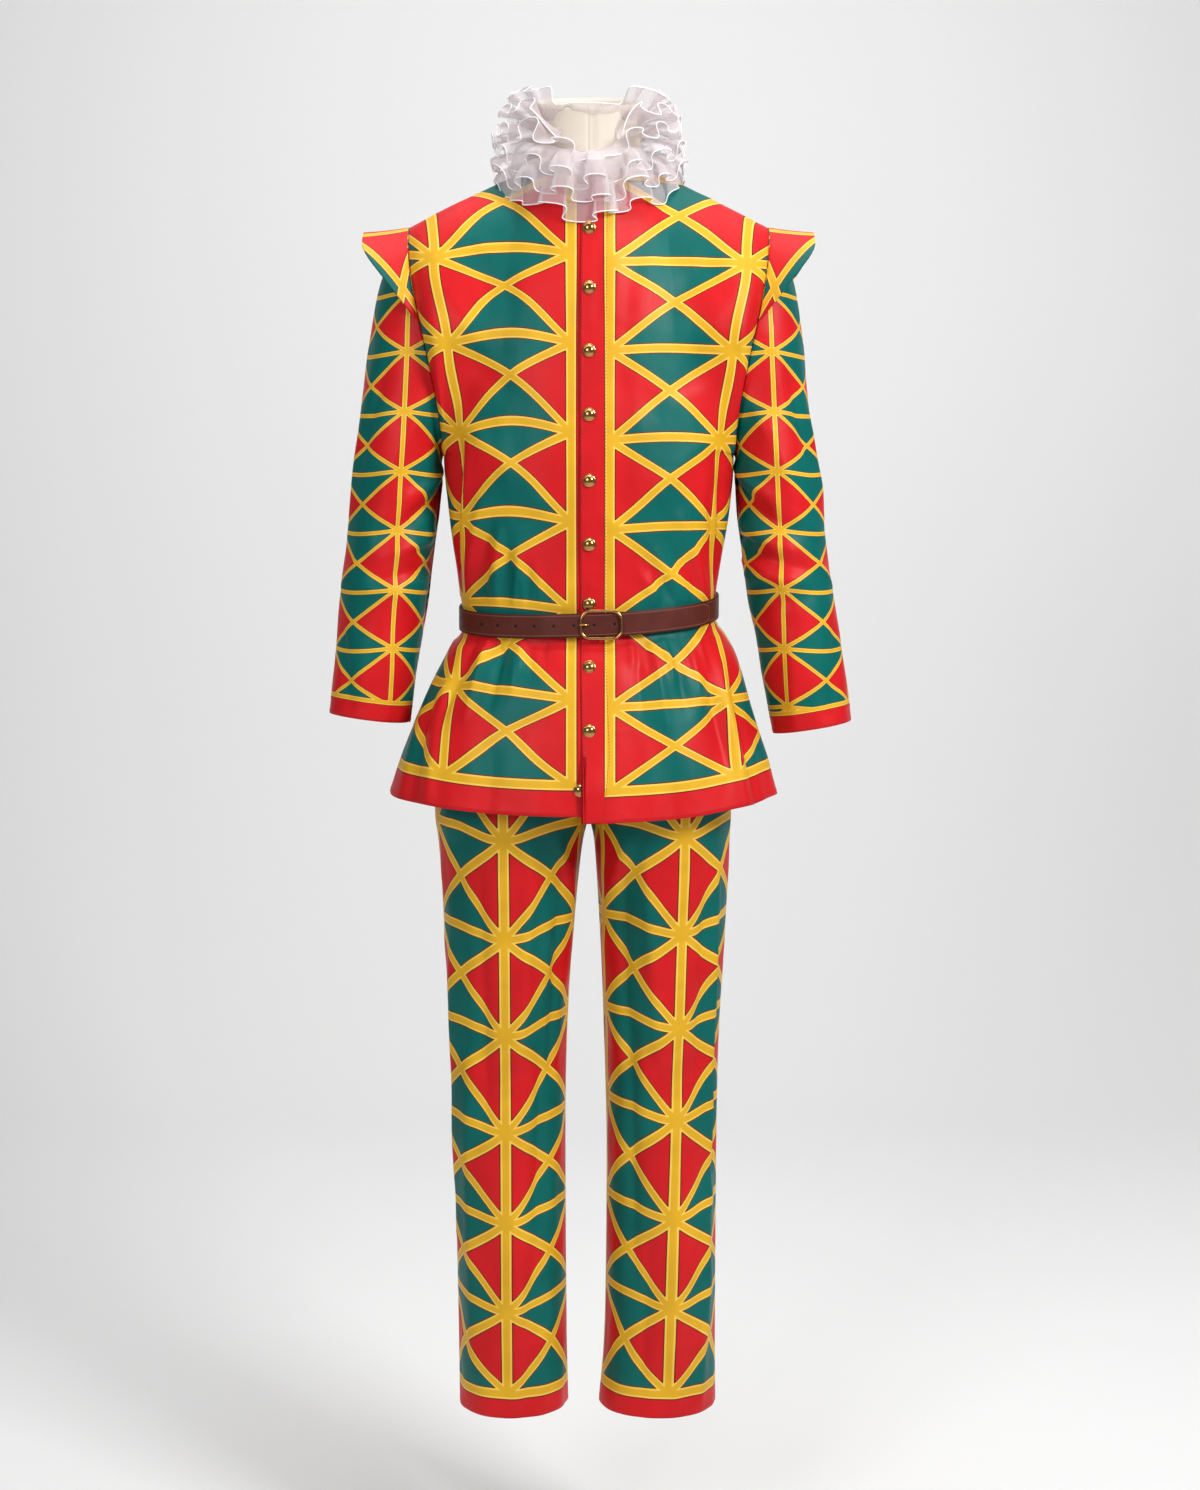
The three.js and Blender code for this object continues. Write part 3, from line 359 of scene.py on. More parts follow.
def oval(degrees, half_width, front, back, roundness):
    s, c = math.sin(math.radians(degrees)), math.cos(math.radians(degrees))
    power = 2 / roundness
    depth = front if c > 0 else back
    return half_width * math.copysign(abs(s) ** power, s), -depth * math.copysign(abs(c) ** power, c)


def row_between(rows, place, top_turns_back=False):
    """The values part way between rows, on a smooth curve through all of them."""
    i = min(int(place), len(rows) - 2)
    t = place - i
    before = rows[i - 1] if i > 0 else (rows[1] if top_turns_back else rows[0])
    after = rows[min(i + 2, len(rows) - 1)]
    made = {}
    for key in rows[0]:
        a, b, c, d = before[key], rows[i][key], rows[i + 1][key], after[key]
        made[key] = b + 0.5 * t * ((c - a) + t * ((2 * a - 5 * b + 4 * c - d) + t * (3 * (b - c) + d - a)))
    if top_turns_back and i == 0:
        made["z"] = mix(rows[0]["z"], rows[1]["z"], t)
    return made


def belt_tilt(angle):
    """How far the belt's line lies above its level: low in front, and high on the wearer's left."""
    return -BELT_DIP_FRONT * math.cos(angle) + BELT_RISE_LEFT * math.sin(angle)


def ring_point(degrees, row):
    out = 0
    for angle, spread, stand in SKIRT_FOLDS:
        away = (degrees - angle + 540) % 360 - 180
        out += stand * math.exp(-((away / spread) ** 2))
    out *= row["hem"]
    x, y = oval(degrees, row["half_width"] + out, row["front"] + out, row["back"] + out, BODY_ROUNDNESS)
    forward = max(0.0, math.cos(math.radians(degrees)))
    tilt = belt_tilt(math.radians(degrees))
    return Vector((x + row["shift"], y, row["z"] + tilt * row["belt"] - HEM_DIP * row["hem"] * forward ** 2))


def yoke_point(degrees, share, behind):
    low = ring_point(degrees, BODY_ROWS[0])
    from_middle = min(abs(degrees), 180 - abs(degrees))
    side = math.copysign(1, degrees)
    if from_middle <= NECK_COLUMN:
        round_neck = math.radians(from_middle / NECK_COLUMN * 90)
        forward = -math.cos(round_neck) if behind else math.cos(round_neck)
        high = Vector((side * NECK[0] * math.sin(round_neck), -NECK[1] * forward,
                       NECK_LEVEL - NECK_LEAN * forward))
    else:
        x = mix(NECK[0], SHOULDER_TIP, (from_middle - NECK_COLUMN) / (90 - NECK_COLUMN))
        high = Vector((side * x, 0, NECK_LEVEL - SHOULDER_SLOPE * (x - NECK[0])))
    over = 1 - math.sqrt(max(0.0, 1 - share ** 2))
    point = low.lerp(high, over)
    point.z = mix(low.z, high.z, share)
    edge_x = mix(UNDERARM[0], SHOULDER_TIP, smooth(share)) - mix(UNDERARM[0], SHOULDER_TIP, over)
    edge_y = 2 * ARMHOLE_HALF_DEPTH * math.sqrt(max(0.0, share * (1 - share)))
    pull = math.sin(math.radians(from_middle)) ** mix(*PULL_POWER, smooth(share / PULL_CHANGES_BY))
    point.x += side * edge_x * pull
    point.y += (1 if behind else -1) * edge_y * pull
    return point


def steps_between(rows, key, step):
    """Places between the rows that are about this step apart."""
    places = []
    for i in range(len(rows) - 1):
        count = max(1, round(abs(rows[i + 1][key] - rows[i][key]) / step))
        places += [i + k / count for k in range(count)]
    return places + [len(rows) - 1.0]


# Rows from the hem up: a ring row each 6 mm, then the yoke in even steps round the armhole
ring_places = reversed(steps_between(BODY_ROWS, "z", 0.006))
ring_levels = [("ring", row_between(BODY_ROWS, p, True)) for p in ring_places]
yoke_turns = [math.radians(-90 + 180 * (i + 1) / YOKE_ROWS) for i in range(YOKE_ROWS)]
yoke_levels = [("yoke", (math.sin(turn) + 1) / 2) for turn in yoke_turns]
JACKET_LEVELS = ring_levels + yoke_levels


def angle_of_x(x, half_width):
    return math.copysign(math.degrees(math.asin(min(1, abs(x) / half_width) ** (BODY_ROUNDNESS / 2))), x)


def over_lift(x, z, down):
    near_edge = 1 - smooth((abs(x) - OVER_LIFT_X) / OVER_LIFT_FADE)
    at_button = math.exp(-(((z - FLAP_LEVEL) / FLAP_REACH) ** 2))
    flap = 1 - smooth((x - FLAP_X) / FLAP_FADE)
    return (OVER_LIFT + OVER_LIFT_HEM * down) * near_edge + FLAP_LIFT * at_button * flap


def runs_along(points):
    """How far round the piece each point lies from the first, measured level."""
    runs = [0.0]
    for a, b in zip(points, points[1:]):
        runs.append(runs[-1] + math.hypot(b.x - a.x, b.y - a.y))
    return runs


def jacket_line(level, angles, behind, side=0):
    """One row of a panel, and how far round the cloth each of its points lies from the middle."""
    kind, value = level
    down = value["hem"] if kind == "ring" else 0
    share = 0 if kind == "ring" else value
    points = [ring_point(a, value) if kind == "ring" else yoke_point(a, value, behind) for a in angles]
    over = 1 - math.sqrt(max(0.0, 1 - share ** 2))
    runs = runs_along(points)
    middle = next((i for i in range(1, len(points)) if points[i - 1].x * points[i].x <= 0), 1)
    a, b = points[middle - 1], points[middle]
    at_middle = mix(runs[middle - 1], runs[middle], abs(a.x) / max(1e-9, abs(a.x) + abs(b.x)))
    flat = [mix(math.copysign(abs(r - at_middle), p.x), p.x, over) for r, p in zip(runs, points)]
    for p in points:
        if side > 0:
            p.z -= OVER_DROP * down * max(0.0, -p.y / 0.16) ** 2
            lift = over_lift(p.x, p.z, down)
            p.y -= lift
            p.z += lift * share ** 8
        p.y = max(p.y, SEAM / 2) if behind else min(p.y, -SEAM / 2)
    return points, flat


def crease_height(creases, u, v):
    """How far the creases push the cloth out, at a place on the flat cloth."""
    height = 0
    for u1, v1, u2, v2, spread, stand in creases:
        du, dv = u2 - u1, v2 - v1
        along = ((u - u1) * du + (v - v1) * dv) / (du * du + dv * dv)
        if -0.3 < along < 1.3:
            held = min(1, max(0, along))
            away = math.hypot(u - u1 - held * du, v - v1 - held * dv)
            ends = math.sin(math.pi * min(1, max(0, 0.5 + (along - 0.5) / 1.3))) ** 0.8
            height += stand * ends * math.exp(-((away / spread) ** 1.5))
    return height


def off_belt(place):
    """0 where the belt holds the cloth, and 1 past its edges."""
    line = BELT_LEVEL - BELT_DIP_FRONT * min(1, max(-1, -place.y / 0.10))
    return smooth((abs(place.z - line) - 0.0138) / 0.008)


def from_bmesh(name, bm):
    mesh = bpy.data.meshes.new(name)
    bm.to_mesh(mesh)
    bm.free()
    return mesh


def finished(name, mesh, surface, slot, *nodes):
    """A finished piece of this mesh and material, which moves with the costume and stands for these nodes."""
    for polygon in mesh.polygons:
        polygon.use_smooth = True
    mesh.materials.append(surface)
    piece = bpy.data.objects.new(name, mesh)
    scene.collection.objects.link(piece)
    if nodes:
        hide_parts(*nodes)
    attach(piece, "root")
    return piece


def cloth_sheet(name, grid, flats, cells, thickness, slot, node, surface, creases=(), closed=False,
                flip=False, sewn="", fade=6, belted=False, wander=0):
    """A wall of cloth through a grid of points. flats are its places on the flat cloth and cells its places
    in the print. Creases are lines on the flat cloth, in millimetres: from, to, half width, and height, below
    zero for a trough. The cloth lies still at its sides, at its sewn end (first or last row) and, if belted,
    under the belt."""
    rows, columns = len(grid), len(grid[0])
    creases = [[value / 1000 for value in crease] for crease in creases]
    bm = bmesh.new()
    cloth = bm.loops.layers.uv.new("cloth")
    print_place = bm.verts.layers.float_vector.new("cells")
    bmesh.ops.create_grid(bm, x_segments=columns - 1 + closed, y_segments=rows - 1, size=1)
    order = sorted(bm.verts, key=lambda v: (round(v.co.y, 5), round(v.co.x, 5)))
    flat_of = {}
    for i, vert in enumerate(order):
        r, c = divmod(i, columns + closed)
        vert.co = grid[r][c % columns]
        flat_of[vert] = flats[r][c]
        vert[print_place] = cells[r][c]
    for face in bm.faces:
        for loop in face.loops:
            loop[cloth].uv = flat_of[loop.vert]
    if flip:
        bmesh.ops.reverse_faces(bm, faces=bm.faces)
    bm.normal_update()
    moves = []
    for i, vert in enumerate(order):
        u, v = flat_of[vert]
        r, c = divmod(i, columns + closed)
        still = 1 if closed else smooth(min(c, columns - 1 - c) / 5)
        if sewn:
            still *= smooth((r if sewn == "first" else rows - 1 - r) / fade)
        if belted:
            still *= off_belt(vert.co)
        broad = noise.noise(Vector((u * 16, v * 9, 3.7)))
        small = noise.noise(Vector((u * 45, v * 22, 8.1)))
        moves.append((wander * (broad + 0.5 * small) + crease_height(creases, u, v)) * still)
    for vert, move in zip(order, moves):
        vert.co += vert.normal * move
    wide = columns + closed
    shaped = [[(v.co.copy(), v.normal.copy()) for v in order[r * wide:(r + 1) * wide]] for r in range(rows)]
    piece = finished(name, from_bmesh(name, bm), surface, slot, node)
    wall = piece.modifiers.new("wall", "SOLIDIFY")
    wall.thickness = thickness
    wall.offset = -1
    wall.use_even_offset = False
    return piece, shaped


def stitches(name, lines, slot, thread, length=0.0026, gap=0.0012, thick=0.00035):
    """Rows of thread along lines of (point, normal), each stitch a slim grain that is sunk at its ends."""
    bm = bmesh.new()
    for line in lines:
        left = gap
        for (a, normal), (b, _) in zip(line, line[1:]):
            span = (b - a).length
            while left + length / 2 < span:
                along = (b - a) / max(span, 1e-9)
                side_way = normal.cross(along).normalized()
                turn = Matrix((along, side_way, normal)).transposed().to_4x4()
                place = Matrix.Translation(a + along * left + normal * thick * 0.5)
                thread_size = Matrix.Diagonal((length / 2, thick, thick, 1))
                bmesh.ops.create_uvsphere(bm, u_segments=6, v_segments=4, radius=1,
                                          matrix=place @ turn @ thread_size)
                left += length + gap
            left -= span
    finished(name, from_bmesh(name, bm), thread, slot)


def row_above(shaped, height):
    """A line across shaped cloth this far above its first row, or below it if that row is on top."""
    line = []
    for column in zip(*shaped):
        run = 0
        for (a, normal), (b, _) in zip(column, column[1:]):
            step = (b - a).length
            if run + step >= height:
                line.append((a.lerp(b, (height - run) / step), normal))
                break
            run += step
    return line


def beside(row, across):
    """The place on a row of shaped cloth at this distance from the row's first point."""
    run = 0
    for (a, normal), (b, _) in zip(row, row[1:]):
        step = (b - a).length
        if run + step >= across:
            return a.lerp(b, (across - run) / step), normal
        run += step
    return row[-1]


RED_THREAD, w, shader = material("red_thread")
shader.inputs["Base Color"].default_value = (0.42, 0.008, 0.012, 1)
shader.inputs["Roughness"].default_value = 0.45
hem_rows = []

# The print's cells are narrowest at the breast and its lines rise in a soft arch between two stars
CELL_WIDTHS = (
    (-0.06, 0.170), (-0.123, 0.162), (-0.226, 0.143), (-0.325, 0.139), (-0.430, 0.141), (-0.530, 0.149),
    (-0.625, 0.150), (-0.76, 0.154),
)
# From the top down, in metres: a level, and there the rise of the crossings, the rise of the level lines
# midway, and how much higher the outer stars stand, on the wearer's right front and then on the left
ARCHES = (
    (-0.06, 0.019, 0.009, 0, 0.006, 0.002, 0.002), (-0.17, 0.019, 0.010, 0, 0.006, 0.002, 0.002),
    (-0.27, 0.0155, 0.013, 0.001, 0.006, 0.004, 0.002), (-0.375, 0.0165, 0.012, 0.003, 0.007, 0.003, 0.003),
    (-0.475, 0.010, 0.005, 0.006, -0.003, 0.001, 0.007), (-0.58, 0.007, 0.0015, 0.013, -0.004, 0, 0.006),
    (-0.68, 0.008, 0.002, 0.019, 0, 0, 0.008), (-0.76, 0.008, 0.002, 0.022, 0, 0, 0.018),
)
# The lowest level line stands above the hem's line, and the rows close up to it towards the hem
LOWEST_ROW = -6
LOWEST_ABOVE_HEM = 0.0358


def from_table(table, z, column):
    for a, b in zip(table, table[1:]):
        if z >= b[0]:
            return mix(a[column], b[column], smooth((a[0] - z) / (a[0] - b[0])))
    return table[-1][column]


def jacket_cells(u, z, side, start, top, above_hem):
    """A point of a front in its print: cells across from the edge, cells up, metres above the hem."""
    cell_height = JACKET_CELL[1]
    cell = (side * u - start) / from_table(CELL_WIDTHS, z, 1)
    if cell <= 0:
        return cell, (z - top) / cell_height, above_hem
    first = 1 if side < 0 else 4
    crossing, level, raised = (from_table(ARCHES, z, first + k) for k in range(3))
    between = math.sin(math.pi * (z - top) / cell_height) ** 2
    rise = mix(level, crossing, between) * abs(math.sin(math.pi * cell)) + raised * min(1, cell)
    row = (z - rise - top) / cell_height
    from_hem = LOWEST_ROW + (above_hem - LOWEST_ABOVE_HEM) / cell_height
    return cell, mix(row, from_hem, smooth((0.115 - above_hem) / 0.085)), above_hem


# Creases on the flat cloth of the fronts, in millimetres: gathers above and below the belt, drags at the
# breast and the armhole, long folds of the skirt. Each is from, to, half width and height.
FRONT_CREASES = (
    (140, -511, 118, -470, 4.5, -5), (122, -512, 102, -476, 4.5, 4), (100, -513, 84, -480, 4, -4.6),
    (82, -514, 70, -486, 4, 3.4), (-132, -511, -120, -472, 4.5, -4.8), (-112, -512, -104, -474, 4, 4),
    (-94, -513, -88, -478, 4, -4.4), (-76, -514, -74, -484, 4, 3), (48, -556, 52, -590, 4.5, 3.6),
    (64, -557, 74, -602, 4.5, -3), (86, -558, 102, -606, 4.5, 4.2), (110, -558, 128, -612, 5, -3.2),
    (132, -558, 152, -610, 5, 4.4), (-50, -556, -52, -586, 4.5, -2.4), (-76, -557, -82, -596, 4.5, 4),
    (-98, -558, -108, -604, 4.5, -3), (-120, -558, -134, -612, 5, 4.2), (-140, -558, -160, -620, 5, -3),
    (-160, -505, -128, -400, 8, 5.2), (-140, -508, -114, -425, 6, -4.5), (-120, -512, -104, -440, 6, 4.5),
    (-103, -514, -92, -455, 5, -3.7), (-88, -516, -80, -462, 5, 3.5), (-72, -518, -68, -475, 4, -2.8),
    (-56, -518, -56, -480, 4, 2), (150, -502, 108, -420, 8, 4.7), (128, -506, 90, -445, 6, -4.2),
    (108, -510, 76, -460, 5, 4.2), (92, -512, 66, -470, 5, -3.2), (76, -514, 56, -478, 4, 2.8),
    (172, -495, 150, -390, 9, -5), (-182, -480, -158, -330, 7, -7.7), (-170, -470, -146, -340, 8, 3.7),
    (-185, -330, -160, -220, 10, -4.5), (186, -330, 168, -215, 10, -4.5), (182, -480, 170, -350, 8, -5.5),
    (-152, -578, -182, -655, 8, -6.3), (-128, -572, -146, -650, 8, 5), (-106, -570, -114, -632, 6, -4),
    (-86, -568, -88, -622, 6, 3.7), (-68, -566, -66, -606, 5, -2.5), (56, -568, 62, -640, 7, -3.5),
    (74, -568, 92, -660, 8, 4.7), (98, -570, 116, -640, 7, -4.2), (120, -572, 138, -640, 7, 4),
    (142, -575, 166, -700, 9, -7), (166, -590, 192, -770, 11, 7.5), (186, -620, 220, -780, 10, -7.2),
    (-182, -620, -196, -780, 13, 5.7), (-205, -610, -226, -780, 11, -6.3), (-110, -680, -118, -790, 14, -3.2),
    (95, -690, 100, -790, 14, -3.2), (-50, -400, -165, -300, 16, 2.8), (60, -410, 165, -310, 16, 2.8),
    (-60, -300, -160, -230, 14, -2.2), (60, -300, 160, -235, 14, -2.2), (-80, -190, -160, -110, 14, -3),
    (85, -190, 160, -115, 14, -3), (-120, -230, -170, -160, 10, 2.5), (120, -230, 172, -165, 10, 2.5),
)
BACK_CREASES = (
    (-150, -500, -118, -405, 8, 5), (-120, -505, -98, -425, 7, -4.5), (-90, -508, -74, -430, 7, 4.5),
    (-60, -508, -50, -445, 6, -3.7), (-30, -508, -26, -440, 6, 3.7), (2, -508, 2, -450, 5, -3.5),
    (32, -508, 28, -440, 6, 3.7), (65, -508, 56, -430, 7, -4.2), (98, -505, 80, -420, 7, 4.7),
    (135, -500, 108, -405, 8, -5), (-140, -560, -170, -690, 10, 6), (-95, -556, -112, -660, 9, -5.2),
    (-55, -555, -64, -650, 8, 4.7), (-12, -555, -16, -640, 7, -4.2), (30, -555, 34, -655, 8, 4.7),
    (75, -556, 88, -665, 9, -5.2), (120, -558, 146, -690, 10, 6), (-160, -330, -70, -230, 18, 3.5),
    (160, -330, 70, -230, 18, 3.5), (-182, -330, -164, -215, 10, -5), (182, -330, 164, -215, 10, -5),
    (-60, -150, 60, -155, 16, -2.2),
)
# Each front: its side, where its print starts from the middle, and the level of its first star
FRONTS = (
    ("jacket_front_right", -1, -0.0195, -0.1235),
    ("jacket_front_left", 1, 0.0245, -0.1325),
)
# How far the rows of stitches lie from the hem, and from the over front's edge
HEM_STITCHES = 0.0045
EDGE_STITCHES = (0.0022, 0.0300)
columns = [NECK_COLUMN * i / 30 for i in range(30)] + [mix(NECK_COLUMN, 90, i / 46) for i in range(47)]
for node, side, start, top in FRONTS:
    grid, flats, cells = [], [], []
    hem = None
    for level in JACKET_LEVELS:
        kind, value = level
        down = value["hem"] if kind == "ring" else 0
        half_width = value["half_width"] if kind == "ring" else UNDERARM[0]
        edge_x = mix(*OVER_EDGE, down) if side > 0 else UNDER_EDGE
        shift = value["shift"] if kind == "ring" else 0
        edge = side * angle_of_x(edge_x - shift, half_width)
        angles = [side * a for a in (edge, edge / 2, *columns)]
        points, flat = jacket_line(level, angles, False, side)
        hem = hem or [p.z for p in points]
        grid.append(points)
        flats.append([(u, p.z) for u, p in zip(flat, points)])
        cells.append([jacket_cells(u, p.z, side, side * start, top, p.z - h)
                      for u, p, h in zip(flat, points, hem)])
    front, shaped = cloth_sheet(node + "_cloth", grid, flats, cells, CLOTH, "satin", node, JACKET_SATIN,
                                FRONT_CREASES, flip=side < 0, sewn="last", belted=True, wander=0.0022)
    hem_rows.append(row_above(shaped, HEM_STITCHES))
    if side > 0:
        edge_rows = [[beside(row, across) for row in shaped[1:-1]] for across in EDGE_STITCHES]

back_columns = [180 - a for a in reversed(columns)]
back_angles = back_columns + [-a for a in reversed(back_columns[:-1])]
grid, flats, cells = [], [], []
hem = None
for level in JACKET_LEVELS:
    points, flat = jacket_line(level, back_angles, True)
    hem = hem or [p.z for p in points]
    grid.append(points)
    flats.append([(u, p.z) for u, p in zip(flat, points)])
    arches = [0.006 * abs(math.sin(math.pi * u / JACKET_CELL[0])) for u in flat]
    cells.append([(u / from_table(CELL_WIDTHS, p.z, 1) + 20, (p.z - arch + 0.128) / JACKET_CELL[1], p.z - h)
                  for u, p, h, arch in zip(flat, points, hem, arches)])
jacket_back, shaped = cloth_sheet("jacket_back_cloth", grid, flats, cells, CLOTH, "satin", "jacket_back",
                                  JACKET_SATIN, BACK_CREASES, sewn="last", belted=True, wander=0.0022)
hem_rows.append(row_above(shaped, HEM_STITCHES))
stitches("jacket_hem_stitches", hem_rows, "satin", RED_THREAD)
stitches("jacket_edge_stitches", edge_rows, "satin", RED_THREAD)


# Sleeves: one tube each of the same satin with a smaller print, sewn into the armhole with a full head and
# hanging straight. The cuff is turned up and stitched twice, and a plain band ends it.
ARM_CELL = (0.097, 0.0685)
SLEEVE_SATIN = printed_satin("sleeve_satin", *ARM_CELL, line=0.0053, band=0.021)
ARM_COLUMNS = ("z", "centre", "half_width", "half_depth")
ARMS = {
    "left": (1, 9.5, (
        (-0.372, 0.223, 0.0495, 0.064), (-0.402, 0.2265, 0.051, 0.063), (-0.440, 0.231, 0.051, 0.060),
        (-0.495, 0.2385, 0.0505, 0.058), (-0.546, 0.2475, 0.0495, 0.056), (-0.596, 0.2555, 0.0495, 0.054),
        (-0.667, 0.267, 0.0485, 0.052))),
    "right": (-1, 7.5, (
        (-0.372, 0.2265, 0.0525, 0.064), (-0.402, 0.2295, 0.0525, 0.063), (-0.440, 0.234, 0.052, 0.061),
        (-0.495, 0.241, 0.0515, 0.059), (-0.550, 0.2485, 0.0505, 0.057), (-0.605, 0.2565, 0.049, 0.055),
        (-0.656, 0.2635, 0.0485, 0.053))),
}
# Where the front line of stars runs, as x and z of its ends, and the level of one star
STAR_LINES = {
    "left": ((0.211, -0.229), (0.2335, -0.643), -0.229),
    "right": ((-0.209, -0.229), (-0.234, -0.635), -0.229),
}
ARM_CREASES = {
    "left": (
        (-90, -350, -10, -400, 7, 5), (-95, -372, -20, -412, 6, -5.4), (-85, -440, -30, -452, 5, -4.6),
        (-80, -470, -24, -476, 5, 4.2), (-76, -505, -20, -496, 6, -4.6), (34, -470, 66, -500, 8, 3.6),
        (-75, -395, 12, -436, 9, -6.3), (-80, -425, 4, -460, 8, 5.2), (-75, -455, 16, -478, 8, -6),
        (-70, -485, 10, -494, 8, 5), (-60, -530, 22, -506, 9, -4.5), (20, -240, 46, -360, 11, -5),
        (-20, -280, 14, -390, 11, 4.5), (60, -300, 72, -420, 12, 4.2), (50, -550, 22, -650, 11, -4.2),
        (-10, -560, -24, -660, 11, 3.7), (120, -430, 200, -466, 10, -5), (130, -474, 210, -500, 10, 4.5),
        (140, -300, 130, -400, 12, -4.2), (-130, -520, -100, -640, 12, 3.7),
    ),
    "right": (
        (90, -360, 14, -402, 7, 4.8), (92, -382, 26, -420, 6, -5), (80, -455, 30, -462, 5, -4.2),
        (74, -500, 26, -494, 6, 4), (-34, -470, -66, -500, 8, 3.4), (75, -400, -12, -440, 9, -5.5),
        (80, -435, -6, -468, 8, 4.7), (75, -475, -10, -490, 8, -4.7), (-20, -240, -48, -360, 11, -5),
        (22, -280, -10, -390, 11, 4.2), (-60, -310, -70, -440, 12, 4.2), (52, -515, -24, -500, 10, 4),
        (-48, -550, -18, -645, 11, -4.2), (14, -560, 30, -650, 11, 3.7), (-120, -430, -200, -468, 10, -5),
        (-130, -485, -210, -508, 10, 4.5), (-140, -300, -130, -400, 12, -4.2),
    ),
}


def armhole_point(degrees, side):
    share = (math.sin(math.radians(degrees)) + 1) / 2
    top = NECK_LEVEL - SHOULDER_SLOPE * (SHOULDER_TIP - NECK[0])
    return Vector((side * mix(UNDERARM[0], SHOULDER_TIP, smooth(share)),
                   -ARMHOLE_HALF_DEPTH * math.cos(math.radians(degrees)), mix(UNDERARM[1], top, share)))


def arm_point(row, lean, side, degrees):
    out = row["half_width"] * math.sin(math.radians(degrees))
    return Vector((side * (row["centre"] + out * math.cos(math.radians(lean))),
                   -row["half_depth"] * math.cos(math.radians(degrees)),
                   row["z"] + out * math.sin(math.radians(lean))))


def curve_point(a, b, c, d, t):
    s = 1 - t
    return a * s ** 3 + b * (3 * s * s * t) + c * (3 * s * t * t) + d * t ** 3


ARM_ROUND = 96
HEAD_ROWS = 32
HEAD_SLOPE = 0.53
HEAD_START = 0.15
HEAD_END = 0.4
CUFF_STITCHES = (0.0035, 0.0185)
for arm, (side, lean, rows) in ARMS.items():
    rows = [dict(zip(ARM_COLUMNS, row)) for row in rows]
    angles = [-90 + 360 * i / ARM_ROUND for i in range(ARM_ROUND)]
    down = Vector((side * math.sin(math.radians(lean)), 0, -math.cos(math.radians(lean))))
    outwards = Vector((side, 0, -HEAD_SLOPE)).normalized()
    grid = []
    for r in range(HEAD_ROWS):
        line = []
        for angle in angles:
            begin = armhole_point(angle, side) + Vector((side * SEAM, 0, 0))
            end = arm_point(rows[0], lean, side, angle)
            length = (end - begin).length
            line.append(curve_point(begin, begin + outwards * HEAD_START * length,
                                    end - down * HEAD_END * length, end, r / HEAD_ROWS))
        grid.append(line)
    for place in steps_between(rows, "z", 0.0055):
        row = row_between(rows, place)
        grid.append([arm_point(row, lean, side, angle) for angle in angles])
    (x1, z1), (x2, z2), star = STAR_LINES[arm]
    flats, cells = [], []
    for line in grid:
        front = ARM_ROUND // 4
        runs = runs_along(line + line[:1])
        star_x = mix(x1, x2, (line[front].z - z1) / (z2 - z1))
        drift = side * (line[front].x - star_x) * -1
        flat, cell = [], []
        for i in range(ARM_ROUND + 1):
            p = line[i % ARM_ROUND]
            u = side * (runs[i] - runs[front])
            flat.append((u, p.z))
            across = (side * u - drift) / ARM_CELL[0]
            sag = 0.004 * abs(math.sin(math.pi * across))
            above = (p - grid[-1][i % ARM_ROUND]).length if p.z < -0.5 else 0.2
            cell.append((across + 20, (p.z - star + sag) / ARM_CELL[1], above))
        flats.append(flat)
        cells.append(cell)
    node = "sleeve_" + arm
    sleeve, shaped = cloth_sheet(node + "_cloth", grid, flats, cells, CLOTH, "satin", node, SLEEVE_SATIN,
                                 ARM_CREASES[arm], closed=True, flip=side > 0, sewn="first", wander=0.0024)
    cuff_rows = [row_above(shaped[::-1], height) for height in CUFF_STITCHES]
    stitches(node + "_stitches", cuff_rows, "satin", RED_THREAD)


# Shoulder wings: stiffened crescents of printed satin, two layers over a firm interlining, sewn into the
# armhole seam and topstitched round the free edge.
WING_SATIN = printed_satin("wing_satin", *JACKET_CELL, line=0.0105, band=-0.02)
WING_WIDTH = 0.053
WING_END_WIDTH = 0.004
WING_ENDS = (8, 172)
WING_FULL_AFTER = 50
WING_SWELL = 0.9
WING_SPREAD = 0.42
WING_END_RISE = 0.4
WING_DROOP = 0.17
WING_CURL = 0.003
WING_STIFF = 0.002
WING_CLEAR = (0.001, 0.0004)
# The seam's radius, and where the print's star lies along the seam and out from it
WING_ROUND = 0.085
WING_STAR = (-0.098, 0.012)
